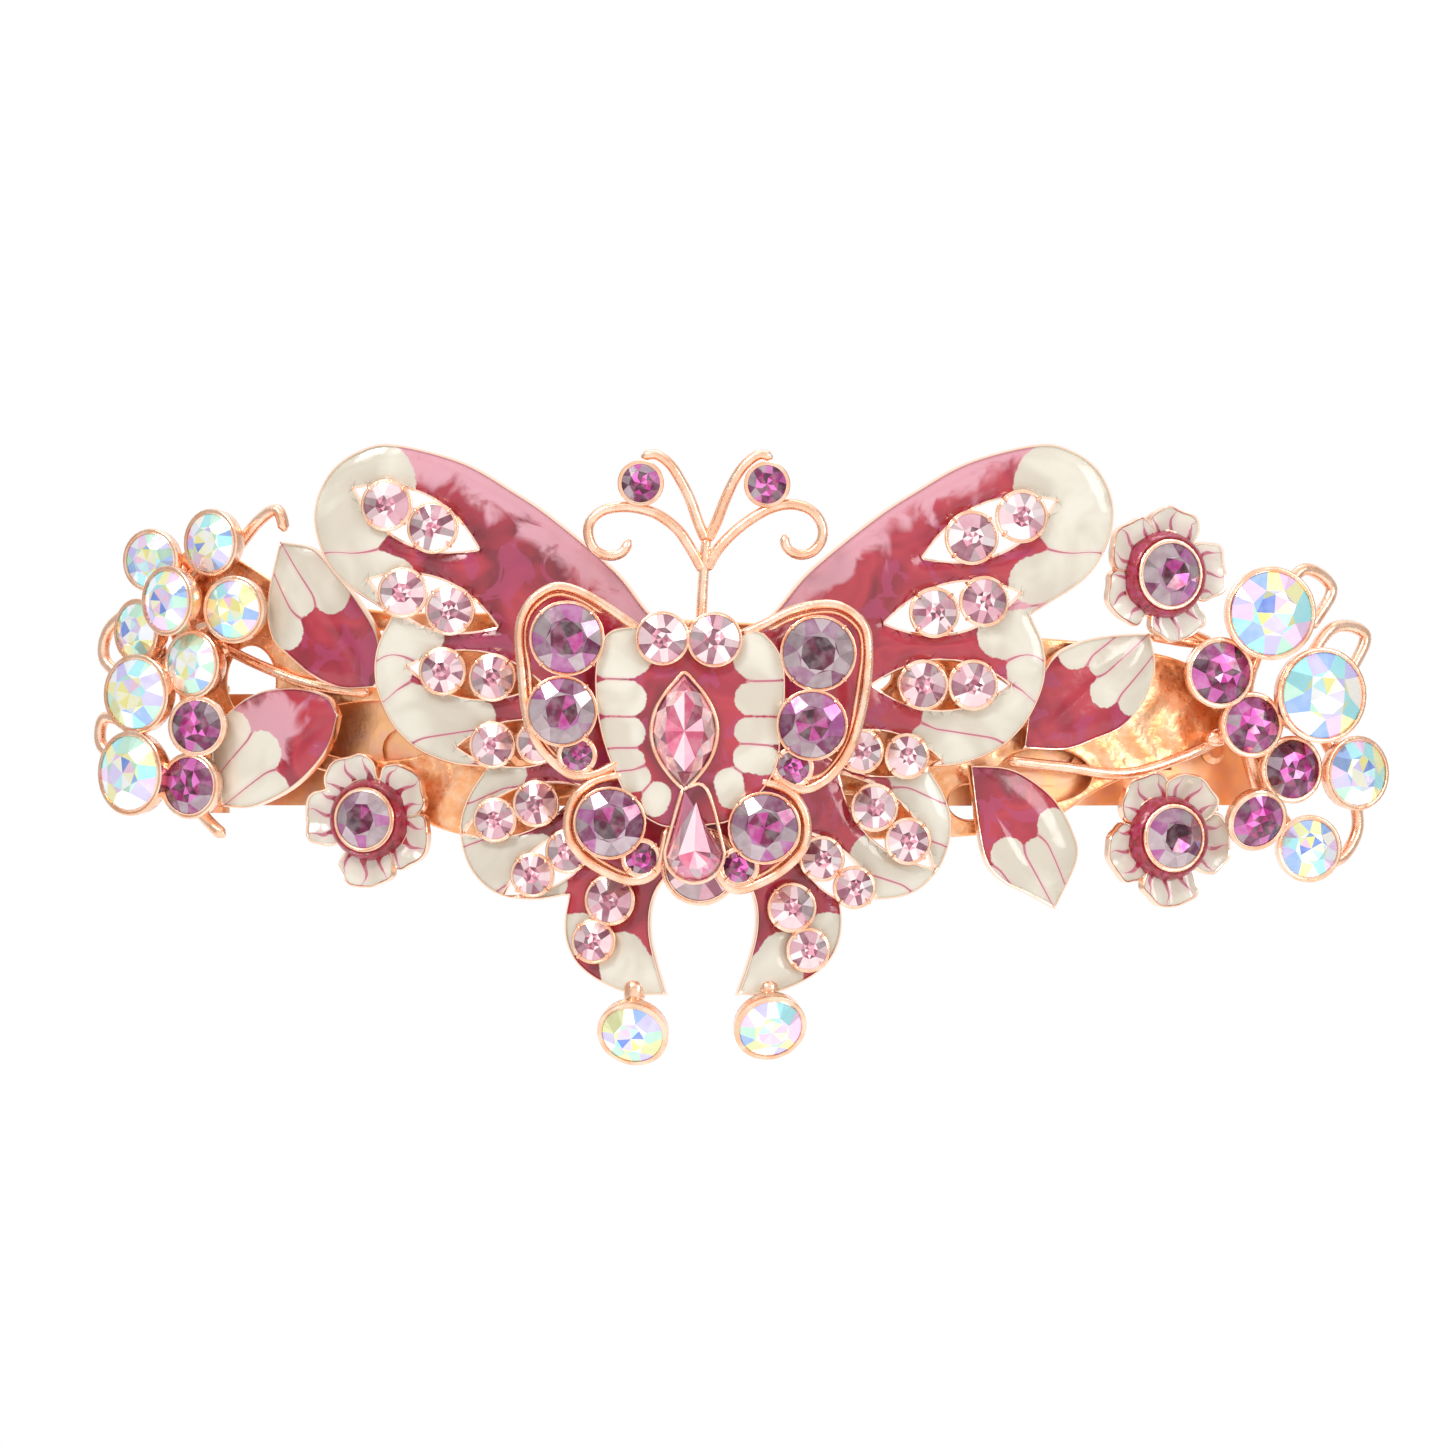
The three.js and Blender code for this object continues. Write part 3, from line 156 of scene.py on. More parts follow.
class Nodes(Graph):
    """A material's nodes: its shader, and textures whose scale is in millimetres."""

    def __init__(self, name):
        self.material = bpy.data.materials.new(name)
        self.material.use_nodes = True
        super().__init__(self.material.node_tree)
        self.shader = self.tree.nodes["Principled BSDF"]
        place = self.add("ShaderNodeTexCoord").outputs["Object"]
        self.mm = self.add("ShaderNodeVectorMath", {0: place, 3: 1 / MM}, operation="SCALE").outputs[0]

    def noise(self, scale, detail=3, distortion=0):
        inputs = {"Vector": self.mm, "Scale": scale, "Detail": detail, "Distortion": distortion}
        return self.add("ShaderNodeTexNoise", inputs).outputs["Fac"]

    def ramp(self, value, *stops):
        node = self.add("ShaderNodeValToRGB", {0: value})
        elements = node.color_ramp.elements
        while len(elements) < len(stops):
            elements.new(0.5)
        for element, (position, colour) in zip(elements, stops):
            element.position = position
            element.color = colour
        return node.outputs[0]

    def mix(self, share, first, second):
        return self.add("ShaderNodeMix", {0: share, 6: first, 7: second}, data_type="RGBA").outputs[2]

    def attribute(self, name, output="Fac"):
        return self.add("ShaderNodeAttribute", attribute_name=name).outputs[output]

    def bump(self, height, distance, strength=1.0):
        inputs = {"Height": height, "Distance": distance * MM, "Strength": strength}
        return self.add("ShaderNodeBump", inputs).outputs[0]

    def set(self, **values):
        for key, value in values.items():
            self.feed(self.shader.inputs[key.replace("_", " ")], value)
        return self.material


def cast_gold(name, colour, shade, grain, grain_depth, roughness):
    """Polished plated metal with the soft ripple of a casting and a fine grain."""
    make = Nodes(name)
    cloud = make.noise(0.7, 2)
    fine = make.noise(grain, 3, 0.4)
    ripple = make.noise(1.1, 1)
    height = make.math("ADD", make.math("MULTIPLY", fine, 0.35), ripple)
    return make.set(
        Base_Color=make.mix(make.step(cloud, 0.35, 0.65), colour, shade),
        Metallic=1.0,
        Roughness=make.step(fine, 0.3, 0.7, roughness, roughness + 0.14),
        Normal=make.bump(height, grain_depth),
    )


def enamel_material(name):
    """Glossy enamel in a gold rim. A mesh's numbers say where: rim and vein are distances in millimetres,
    cream is above 0 inside the cream fields, and pale is the share of light pink in the red."""
    make = Nodes(name)
    rim = make.attribute("rim")
    vein = make.attribute("vein")
    cream = make.attribute("cream")
    pale = make.attribute("pale")
    swirl = make.noise(0.15, 2, 1.1)
    wisps = make.noise(0.26, 3, 1.4)
    fine = make.noise(2.6, 2)
    red = make.ramp(swirl, (0.34, DEEP_RED), (0.46, RED), (0.56, BRIGHT_RED), (0.68, RED))
    red = make.mix(make.step(wisps, 0.53, 0.59, 0, 0.7), red, MAGENTA)
    drift = make.math("MULTIPLY", make.math("SUBTRACT", wisps, 0.5), 1.7)
    cloud = make.step(make.math("ADD", pale, drift), 0.34, 0.68, 0, 0.85)
    mottle = make.math("MULTIPLY", cloud, make.step(pale, 0, 0.25))
    red = make.mix(mottle, red, DUSTY_PINK)
    milk = make.mix(make.step(swirl, 0.35, 0.65), CREAM, CREAM_SHADE)
    wobble = make.math("MULTIPLY", make.math("SUBTRACT", fine, 0.5), 0.3)
    field = make.step(make.math("ADD", cream, wobble), -0.06, 0.07)
    colour = make.mix(field, red, milk)
    width = make.step(cream, 0, 1.4, 0.24, 0.07)
    line = make.math("DIVIDE", make.math("ABSOLUTE", vein), width)
    line = make.math("MULTIPLY", make.step(line, 0.45, 1.0, 0.85, 0), make.step(cream, 1.2, 3.2, 1, 0.35))
    blush = make.math("MULTIPLY", make.step(make.math("ABSOLUTE", vein), 0.05, 0.7, 0.3, 0), field)
    colour = make.mix(blush, colour, LIGHT_PINK)
    colour = make.mix(make.math("MULTIPLY", line, field), colour, VEIN)
    metal = make.step(rim, 0.15, 0.2, 1, 0)
    colour = make.mix(metal, colour, GOLD)
    height = make.math("ADD", make.noise(0.8, 1), make.math("MULTIPLY", fine, 0.25))
    return make.set(
        Base_Color=colour,
        Metallic=metal,
        Roughness=make.step(metal, 0, 1, 0.2, 0.22),
        Coat_Weight=0.6,
        Coat_Roughness=0.06,
        Normal=make.bump(height, 0.05),
    )


def red_enamel(name):
    """The enamel of a flower's middle."""
    make = Nodes(name)
    swirl = make.noise(0.8, 3, 2)
    return make.set(
        Base_Color=make.ramp(swirl, (0.35, DEEP_RED), (0.5, RED), (0.65, MAGENTA)),
        Roughness=0.22,
        Coat_Weight=0.6,
        Coat_Roughness=0.06,
        Normal=make.bump(make.noise(1.5, 1), 0.15),
    )


def foil_material(name):
    """The mirrored back of a stone."""
    make = Nodes(name)
    cloud = make.noise(1.6, 2)
    share = make.step(cloud, 0.3, 0.7, 0, 0.25)
    colour = make.mix(share, make.attribute("tint_and_painted_light", "Color"), WHITE)
    return make.set(Base_Color=colour, Metallic=0.85, Roughness=0.12)


def crown_material(name):
    """The facets that show from the front. Their tint mixes towards white in cloudy patches, a painted glint
    of the coating behind them.
    """
    make = Nodes(name)
    cloud = make.noise(1.2, 2)
    # share is how much white goes into the tint: a painted glint
    share = make.step(cloud, 0.35, 0.7, 0, 0.12)
    return make.set(
        Base_Color=make.mix(share, make.attribute("tint_and_painted_light", "Color"), WHITE),
        Metallic=0.55,
        Roughness=make.step(cloud, 0.3, 0.8, 0.06, 0.14),
        Coat_Weight=0.6,
        Coat_Roughness=0.02,
    )


ROSE_GOLD = cast_gold("rose_gold_cast", GOLD, GOLD_SHADE, 5.0, 0.05, 0.16)
TEXTURED_GOLD = cast_gold("rose_gold_textured", ORANGE_GOLD, PALE_ORANGE, 3.2, 0.07, 0.26)
GILT_STEEL = cast_gold("gilt_steel_sheet", GILT, GOLD_SHADE, 7.0, 0.02, 0.28)
ENAMEL = enamel_material("enamel_marbled")
RED_ENAMEL = red_enamel("enamel_red")
FOIL = foil_material("stone_foil")
GLINTED_CROWN_FACETS = crown_material("stone_crown_painted_glint")
STONE = [GLINTED_CROWN_FACETS, FOIL]

# ---- mesh helpers


def circle(count, shift=0.0):
    """The cosine and sine of each of a number of even turns."""
    turns = [2 * math.pi * (i + shift) / count for i in range(count)]
    return [(math.cos(turn), math.sin(turn)) for turn in turns]


class Shape:
    """A mesh under construction: points in millimetres, faces with a material slot and a tint each,
    and numbers painted on the points."""

    def __init__(self):
        self.points = []
        self.faces = []
        self.slots = []
        self.paint = {}
        self.tints = []

    def add(self, points, faces, slot=0, tints=None, **paint):
        base = len(self.points)
        self.points.extend(tuple(map(float, p)) for p in points)
        self.faces.extend(tuple(base + i for i in face) for face in faces)
        self.slots.extend([slot] * len(faces) if isinstance(slot, int) else slot)
        self.tints.extend(tints or [WHITE] * len(faces))
        for key, values in paint.items():
            self.paint.setdefault(key, {})[base] = values

    def finish(self, name, materials, nodes, smooth=38):
        mesh = bpy.data.meshes.new(name)
        mesh.from_pydata([tuple(c * MM for c in p) for p in self.points], [], self.faces)
        for material in materials:
            mesh.materials.append(material)
        mesh.polygons.foreach_set("material_index", self.slots)
        if FOIL in materials:
            layer = mesh.color_attributes.new("tint_and_painted_light", "FLOAT_COLOR", "CORNER")
            corners = [tint_and_painted_light for face, tint_and_painted_light in zip(self.faces, self.tints) for _ in face]
            layer.data.foreach_set("color", np.array(corners, np.float32).ravel())
        for key, parts in self.paint.items():
            values = np.zeros(len(self.points), np.float32)
            for base, part in parts.items():
                values[base : base + len(part)] = part
            mesh.attributes.new(key, "FLOAT", "POINT").data.foreach_set("value", values)
        bm = bmesh.new()
        bm.from_mesh(mesh)
        bmesh.ops.recalc_face_normals(bm, faces=bm.faces)
        bm.to_mesh(mesh)
        bm.free()
        if smooth:
            mesh.polygons.foreach_set("use_smooth", [True] * len(mesh.polygons))
            mesh.set_sharp_from_angle(angle=math.radians(smooth))
        piece = bpy.data.objects.new(name, mesh)
        bpy.context.scene.collection.objects.link(piece)
        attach(piece, "clip")
        if nodes:
            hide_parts(*nodes)


def curve(points, step):
    """Points about `step` apart on a smooth curve through the given ones."""
    points = [np.array(p, float) for p in points]
    points = [2 * points[0] - points[1], *points, 2 * points[-1] - points[-2]]
    found = []
    for before, start, end, after in zip(points, points[1:], points[2:], points[3:]):
        steps = max(1, round(np.linalg.norm(end - start) / step))
        for t in np.arange(steps) / steps:
            found.append(
                (2 * t**3 - 3 * t**2 + 1) * start
                + (t**3 - 2 * t**2 + t) * (end - before) / 2
                + (3 * t**2 - 2 * t**3) * end
                + (t**3 - t**2) * (after - start) / 2
            )
    return np.array([*found, points[-2]])


def outline(start, *stretches, step=0.3):
    """A closed outline made of smooth stretches that meet in corners."""
    loop = []
    for stretch in stretches:
        loop.extend(curve([start, *stretch], step)[:-1])
        start = stretch[-1]
    if np.linalg.norm(np.array(start) - loop[0]) > step / 2:
        loop.append(np.array(start, float))
    return np.array(loop)


def eye(first, last, half_width, steps=12):
    """A pointed oval between two tips."""
    first, last = np.array(first, float), np.array(last, float)
    run = last - first
    side = np.array([-run[1], run[0]]) / np.linalg.norm(run) * 2 * half_width
    middle = (first + last) / 2
    loop = []
    for a, b, bulge in [(first, last, middle - side), (last, first, middle + side)]:
        loop += [(1 - t) ** 2 * a + 2 * t * (1 - t) * bulge + t * t * b for t in np.arange(steps) / steps]
    return np.array(loop)


def ellipse(x0, x1, z0, z1, steps=36):
    turns = np.linspace(0, 2 * math.pi, steps, endpoint=False)
    middle = np.array([x0 + x1, z0 + z1]) / 2
    half = np.array([x1 - x0, z1 - z0]) / 2
    return middle + half * np.stack([np.cos(turns), np.sin(turns)], 1)


def round_hole(x, z, radius):
    return ellipse(x - radius, x + radius, z - radius, z + radius)


def inside(points, loop):
    """Which points lie inside a closed loop."""
    x, z = points[:, :1], points[:, 1:]
    x0, z0 = loop[:, 0], loop[:, 1]
    x1, z1 = np.roll(x0, -1), np.roll(z0, -1)
    crosses = (z0 > z) != (z1 > z)
    rise = np.where(z1 == z0, 1e-9, z1 - z0)
    return (crosses & (x < x0 + (z - z0) * (x1 - x0) / rise)).sum(1) % 2 == 1


def distance(points, loop):
    """Each point's distance to a closed loop."""
    best = np.full(len(points), 1e9)
    for a, b in zip(loop, np.roll(loop, -1, 0)):
        run = b - a
        t = np.clip(((points - a) @ run) / max(run @ run, 1e-12), 0, 1)
        best = np.minimum(best, np.hypot(*(points - a - t[:, None] * run).T))
    return best


def on_sheet(points, edge, holes):
    """Which points lie inside the edge and in no hole."""
    return inside(points, edge) & ~np.any([inside(points, hole) for hole in holes], axis=0)


# Rows of points along every edge, which carry the rounded rim
RIM_ROWS = (0.07, 0.14, 0.24)


def sheet(edge, holes, spacing):
    """A triangulated flat sheet: its points, its triangles, and each point's distance to the nearest edge."""
    loops = [edge, *holes]
    low, high = edge.min(0), edge.max(0)
    rows = np.arange(low[1], high[1], spacing * 0.87)
    grid = [
        (x, z)
        for i, z in enumerate(rows)
        for x in np.arange(low[0] + (i % 2) * spacing / 2, high[0], spacing)
    ]
    candidates = [(np.array(grid), RIM_ROWS[-1] + spacing * 0.5)]
    edges = []
    base = 0
    for loop in loops:
        run = np.roll(loop, -1, 0) - np.roll(loop, 1, 0)
        side = np.stack([-run[:, 1], run[:, 0]], 1) / np.maximum(np.linalg.norm(run, axis=1)[:, None], 1e-9)
        for inset in RIM_ROWS:
            for sign in (-1, 1):
                candidates.append((loop + side * inset * sign, inset * 0.93))
        edges += [(base + i, base + (i + 1) % len(loop)) for i in range(len(loop))]
        base += len(loop)
    kept = [*loops]
    for points, clear in candidates:
        points = points[on_sheet(points, edge, holes)]
        far = np.min([distance(points, loop) for loop in loops], 0)
        kept.append(points[far >= clear])
    points = [tuple(p) for p in np.concatenate(kept)]
    made = geometry.delaunay_2d_cdt(points, edges, [], 0, 1e-5)
    flat = np.array([(v.x, v.y) for v in made[0]])
    triangles = np.array([f for f in made[2] if len(f) == 3])
    triangles = triangles[on_sheet(flat[triangles].mean(1), edge, holes)]
    return flat, triangles, np.min([distance(flat, loop) for loop in loops], 0)


def plate(shape, edge, holes, onto, front, back, spacing=0.4, slot=0, paint=None):
    """A closed plate over an outline. front(points, far) and back(points, far) give each point's y, paint
    gives its cream, vein and pale, and onto turns (u, y, w) rows into places in the clip's frame."""
    flat, triangles, far = sheet(edge, holes, spacing)
    used = np.unique(triangles)
    index = np.full(len(flat), -1)
    index[used] = np.arange(len(used))
    flat, far, triangles = flat[used], far[used], index[triangles]
    count = len(flat)
    stack = [np.column_stack([flat[:, 0], side(flat, far), flat[:, 1]]) for side in (front, back)]
    points = onto(np.concatenate(stack))
    faces = [tuple(t) for t in triangles] + [(t[0] + count, t[2] + count, t[1] + count) for t in triangles]
    pairs = {pair: None for a, b, c in triangles for pair in ((a, b), (b, c), (c, a))}
    faces += [(b, a, a + count, b + count) for a, b in pairs if (b, a) not in pairs]
    painted = {}
    for key, values in zip(("cream", "vein", "pale"), paint(flat, far) if paint else ()):
        painted[key] = np.concatenate([values, np.full(count, -9.0 if key == "cream" else 0.0)])
    shape.add(points, faces, slot, rim=np.concatenate([far, np.zeros(count)]), **painted)


def ring_faces(rows, sides, closed_ends=True):
    """The faces between rings of points, and over the first and last ring."""
    faces = []
    for row in range(rows - 1):
        for i in range(sides):
            j = (i + 1) % sides
            faces.append((row * sides + i, row * sides + j, (row + 1) * sides + j, (row + 1) * sides + i))
    if closed_ends:
        faces.append(tuple(range(sides)))
        faces.append(tuple(range((rows - 1) * sides, rows * sides)))
    return faces


def tube(shape, points, radius, sides=10, step=0.35, tip=None, slot=0):
    """A round wire through points. Its ends are rounded, and tip is the far end's radius."""
    path = curve(points, step)
    runs = np.gradient(path, axis=0)
    runs /= np.linalg.norm(runs, axis=1)[:, None]
    across = np.cross(runs[0], (0, 1, 0.1))
    tip = radius if tip is None else tip
    rows = []
    lengths = np.concatenate([[0], np.cumsum(np.linalg.norm(np.diff(path, axis=0), axis=1))])
    total = lengths[-1]
    for point, run, gone in zip(path, runs, lengths):
        across = across - run * (across @ run)
        across /= np.linalg.norm(across)
        up = np.cross(run, across)
        size = radius + (tip - radius) * gone / total
        for end in (gone, total - gone):
            if end < size:
                size *= max(0.3, math.sqrt(max(0.0, 1 - (1 - end / size) ** 2)))
        rows += [point + (across * c + up * s) * size for c, s in circle(sides)]
    shape.add(rows, ring_faces(len(path), sides), slot, rim=np.zeros(len(rows)))


class Spot:
    """A centre and an axis that points out of the clip, with two directions across it."""

    def __init__(self, centre, axis):
        self.centre = np.array(centre, float)
        self.axis = np.array(axis, float) / np.linalg.norm(axis)
        self.side = np.cross((0, 0, 1), self.axis)
        self.side /= np.linalg.norm(self.side)
        self.up = np.cross(self.axis, self.side)

    def __call__(self, across, up, out):
        """The place this far across, up and out from the centre."""
        return self.centre + self.side * across + self.up * up + self.axis * out

    def turned(self, angle):
        other = Spot(self.centre, self.axis)
        other.side = self.side * math.cos(angle) + self.up * math.sin(angle)
        other.up = np.cross(self.axis, other.side)
        return other


def lathe(shape, spot, profile, sides=32, slot=0):
    """A closed turned form about a spot's axis. The profile's (radius, height out) pairs start and end
    on the axis."""
    points = [spot(0, 0, profile[0][1])]
    for radius, out in profile[1:-1]:
        points += [spot(radius * c, radius * s, out) for c, s in circle(sides)]
    points.append(spot(0, 0, profile[-1][1]))
    rows = len(profile) - 2
    faces = [tuple(1 + i for i in face) for face in ring_faces(rows, sides, False)]
    last = len(points) - 1
    for i in range(sides):
        j = (i + 1) % sides
        faces.append((0, 1 + i, 1 + j))
        faces.append((last, last - sides + j, last - sides + i))
    shape.add(points, faces, slot, rim=np.zeros(len(points)))


# ---- stones


def stone_spot(node):
    """A round CAD stone's centre, axis and radius, from its table, which is its largest facet."""
    mesh = NODES[node].data
    sums = {}
    for polygon in mesh.polygons:
        key = tuple(round(c, 2) for c in polygon.normal)
        sums[key] = sums.get(key, 0) + np.array([1, *polygon.center, *polygon.normal]) * polygon.area
    table = max(sums.values(), key=lambda found: found[0])
    centre, normal = table[1:4], table[4:]
    axis = normal / np.linalg.norm(normal)
    centre = centre / table[0] / MM
    corners = np.array([v.co for v in mesh.vertices]) / MM - centre
    radius = np.linalg.norm(corners - np.outer(corners @ axis, axis), axis=1).max()
    return Spot(centre - axis * CROWN * radius, axis), radius


# Shares of a round stone's radius: half its girdle, the ring of its back facets and the dip of its table
GIRDLE = 0.03
LOW_RING = 0.52
TABLE_DIP = 0.035
# Facets round the table
SIDES = 8
# Share of the radius that the table takes
TABLES = {"amethyst": 0.58, "plum": 0.6, "pink": 0.44, "clear": 0.56}
# Share of the radius that the fan of facets seen in the table takes, which is painted in the mirror's tints
# as its reflection
FANS = {"amethyst": 0.49, "plum": 0.33, "pink": 0.25, "clear": 0.44}
# These stones show their coating, in crown tints with painted glints, right up to that fan; in the others the
# painted reflection of the mirror reaches the table's edge
COATED = ("amethyst", "clear")


def painted_facets(shape, points, family, rng, star, crown, foil):
    """Adds a stone's facets, each with a tint: the star in the table, which takes the mirror's tints as a
    painted reflection, the crown, and the mirror.
    """
    tints = []
    # The star's tints are a painted reflection of the mirror, and the crown's tints hold painted glints
    for faces, palette in ((star, FOIL_TINTS_AND_REFLECTIONS[family]), (crown, CROWN_TINTS_AND_GLINTS[family]), (foil, FOIL_TINTS_AND_REFLECTIONS[family])):
        colours = [srgb(code) for code in palette.split()]
        tints += [rng.choice(colours) for _ in faces]
    slots = [0] * (len(star) + len(crown)) + [1] * len(foil)
    shape.add(points, star + crown + foil, slots, tints)


def brilliant(shape, spot, radius, family, rng):
    """A round stone: a table painted with a star, a painted reflection of the mirror behind, a crown of
    wedges round it, and facets behind the girdle.
    """
    low_height = -PAVILION + LOW_RING * math.cos(math.pi / SIDES) * (PAVILION - GIRDLE)
    points = []
    starts = []
    for size, out, count, shift in [
        (TABLES[family], CROWN - TABLE_DIP, SIDES, 0),
        (1, GIRDLE, 3 * SIDES, 0),
        (1, -GIRDLE, 3 * SIDES, 0),
        (LOW_RING, low_height, SIDES, 0.5),
        (0, -PAVILION, 1, 0),
        (FANS[family], CROWN, SIDES, 0.5),
        (0, CROWN - TABLE_DIP, 1, 0),
    ]:
        starts.append(len(points))
        points += [spot(size * radius * c, size * radius * s, out * radius) for c, s in circle(count, shift)]
    upper, lower, under, culet, inner, middle = starts[1:]
    star, crown, foil = [], [], []
    for k in range(SIDES):
        n, b = (k + 1) % SIDES, (k - 1) % SIDES
        at = [(3 * k + i) % (3 * SIDES) for i in range(-1, 4)]
        # The star's facets lie on the table and take the mirror's tints: a painted reflection
        star.append((middle, inner + b, inner + k))
        (crown if family in COATED else star).extend([(inner + b, k, inner + k), (k, n, inner + k)])
        crown += [
            (k, n, upper + at[3], upper + at[2]),
            (k, upper + at[0], upper + at[1], upper + at[2]),
        ]
        foil += [
            (lower + at[1], lower + at[2], lower + at[3], under + k),
            (lower + at[3], lower + at[4], under + k),
            (culet, under + b, lower + at[1], under + k),
        ]
        foil += [(upper + a, upper + c, lower + c, lower + a) for a, c in zip(at[1:-1], at[2:])]
    painted_facets(shape, points, family, rng, star, crown, foil)


def stone(node, family, slot):
    """Cuts a faceted stone over a CAD stone, with tints that depend only on its name."""
    spot, radius = stone_spot(node)
    shape = Shape()
    rng = random.Random(node)
    brilliant(shape, spot.turned(rng.random()), radius, family, rng)
    shape.finish(f"cut_{node}", STONE, [node], smooth=0)
    return spot, radius


# Thickness of the little claws that hold a stone, as a radius
CLAW_RADIUS = 0.15


def cup(shape, spot, radius, wall=0.26, back=None, claws=0, slot=0, lip=0.14):
    """A turned setting round a stone, with small claws bent over its girdle."""
    back = back or PAVILION * radius + 0.5
    floor = PAVILION * radius + 0.06
    outer = radius + wall
    lathe(
        shape,
        spot,
        [
            (0, -back), (outer * 0.55, -back), (outer * 0.72, -back + 0.08), (outer * 0.96, -back * 0.45),
            (outer, -0.15), (outer, lip * 0.4), (outer - wall * 0.25, lip * 0.9), (radius + wall * 0.4, lip),
            (radius + 0.04, lip * 0.8), (radius - 0.06, 0.07 * radius), (radius + 0.02, -0.05 * radius),
            (radius * 0.5, -floor + 0.3 * radius), (0, -floor),
        ],
        slot=slot,
    )
    claw = [
        (outer - 0.1, -0.3), (outer - 0.02, lip * 0.8), (radius + 0.02, lip + 0.2),
        (radius - 0.22, lip + 0.16),
    ]
    for c, s in circle(claws, 0.5):
        tube(shape, [spot(r * c, r * s, out) for r, out in claw], CLAW_RADIUS, 8, 0.12, 0.12, slot)


SPOTS = {}
for start, family, slot in [
    ("clear_stone", "clear", "clear_glass"),
    ("tail_stone", "clear", "clear_glass"),
    ("flower_stone", "amethyst", "amethyst_glass"),
    ("wing_amethyst", "amethyst", "amethyst_glass"),
    ("amethyst", "plum", "amethyst_glass"),
    ("antenna_stone", "plum", "amethyst_glass"),
    ("head_stone", "pink", "pink_glass"),
    ("abdomen_stone", "pink", "pink_glass"),
]:
    for name in sorted(name for name in NODES if name.startswith(start)):
        SPOTS[name] = stone(name, family, slot)

# ---- places


def arch_y(x, lift):
    return ARCH_Y - np.sqrt((ARCH_RADIUS + lift) ** 2 - (np.asarray(x, float) - ARCH_X) ** 2)


def arch_turn(x, lift):
    return math.asin((x - ARCH_X) / (ARCH_RADIUS + lift))


def on_arch(points, lift):
    return [(x, float(arch_y(x, lift)), z) for x, z in points]


def flat_place(origin, across, inward, up=(0, 0, 1)):
    """What turns (u, y, w) rows of a flat sheet into places."""

    def onto(rows):
        return origin + np.outer(rows[:, 0], across) + np.outer(rows[:, 1], inward) + np.outer(rows[:, 2], up)

    return onto


def tangent(x, z, lift):
    """The plane that touches the arch at x."""
    turn = arch_turn(x, lift)
    across = np.array([math.cos(turn), math.sin(turn), 0])
    inward = np.array([-math.sin(turn), math.cos(turn), 0])
    return flat_place(np.array([x, arch_y(x, lift), z]), across, inward)


def bead(far, height=0.2, width=0.2):
    """The height of a rounded rim at a distance from the edge."""
    share = np.clip(far / width, 0, 1)
    return height * np.sqrt(np.clip(1 - (2 * share - 1) ** 2, 0, 1)) * (far < width)


def swelling(far, height, reach, rim=0.2):
    """How far an enamel field in its rounded rim stands out, at a distance from the edge."""
    share = np.clip(np.maximum(far - 0.2, 0) / reach, 0, 1)
    return bead(far, rim) + height * (1 - (1 - share) ** 2)


def capsules(points, fingers):
    """For each point, how deep it lies in the nearest cream finger, and a signed distance to the line
    between the two nearest fingers. A finger is [x, z, radius] twice: its blunt end and its far end."""
    depth = []
    for x0, z0, r0, x1, z1, r1 in fingers:
        a, run = np.array([x0, z0]), np.array([x1 - x0, z1 - z0])
        t = np.clip(((points - a) @ run) / max(run @ run, 1e-9), 0, 1)
        gap = np.hypot(*(points - a - t[:, None] * run).T)
        depth.append(r0 + (r1 - r0) * t - gap)
    depth = np.array(depth)
    order = np.argsort(-depth, axis=0)
    columns = np.arange(len(points))
    best = depth[order[0], columns]
    second = depth[order[1], columns] if len(fingers) > 1 else best - 9
    return best, (best - second) * np.where(order[0] % 2, -1, 1)


# ---- large butterfly

WING = [
    [-0.8, 8],
    [[1.6, 8]],
    [
        [5, 11], [7.7, 14.3], [12.6, 18.4], [16, 20.7], [20.3, 23.1], [25.8, 24.5], [28.6, 24], [30.8, 22.4],
        [32, 19.8], [31.8, 17], [30, 13.8], [25.6, 10.8],
    ],
    [[26.7, 8.4], [26.9, 6], [26.3, 3.8], [25.1, 1.7], [23.2, 0], [20.5, -1.1], [17.7, -1.4]],
    [[19.1, -3.7], [19.7, -6], [19.3, -8.4], [18.2, -10.3], [16.4, -11.6], [13.6, -12], [10.8, -11.6]],
    [[11.1, -13.6], [10.9, -15.4], [10, -17.1], [8.2, -18.5], [5.6, -19.5], [2.8, -19.6]],
    [[3.6, -17.2], [4.2, -14.6], [4.1, -12.2], [3.2, -10.3], [1.5, -9]],
    [[-0.8, -9]],
]
# Stone pairs that sit in a window, and how far the window reaches beyond their ends
WINDOWED_PAIRS = 6
WINDOW_REACH_IN = 2.1
WINDOW_REACH_OUT = 1.3
# Half a window's width, as a share of the outer stone's radius
WINDOW_WIDTH = 1.06

# Cream fields of a wing, each from its blunt inner end to the edge
WING_FINGERS = [
    [27.6, 21.2, 3.7, 29.8, 18.4, 3.7],
    [25.6, 13.6, 1.9, 30, 14.6, 2.4],
    [23.2, 9.2, 1.9, 27, 9, 2.6],
    [25.6, 6.6, 1.9, 26.5, 5, 2.4],
    [18.5, 2.6, 1.5, 25, 3, 2.6],
    [17.7, 0.8, 1.5, 22, -0.6, 2],
    [15.8, -1.9, 1.4, 19, -2.8, 1.8],
    [16, -4.2, 1.6, 20, -6.6, 2],
    [13.3, -8.4, 1.7, 18.6, -9.6, 2.6],
    [12.2, -10.8, 1.3, 15, -12.2, 2],
    [9.8, -14.6, 1.6, 11.5, -15, 1.8],
    [6.4, -16.4, 1.9, 5, -20, 3],
]
# Width of the light pink along the leading edge
PALE_BAND = 4.6
# Radius of the pieces that carry the tails, and the height where they leave the wings
TAIL_RADIUS = 0.85
TAIL_ROOT = -18.2


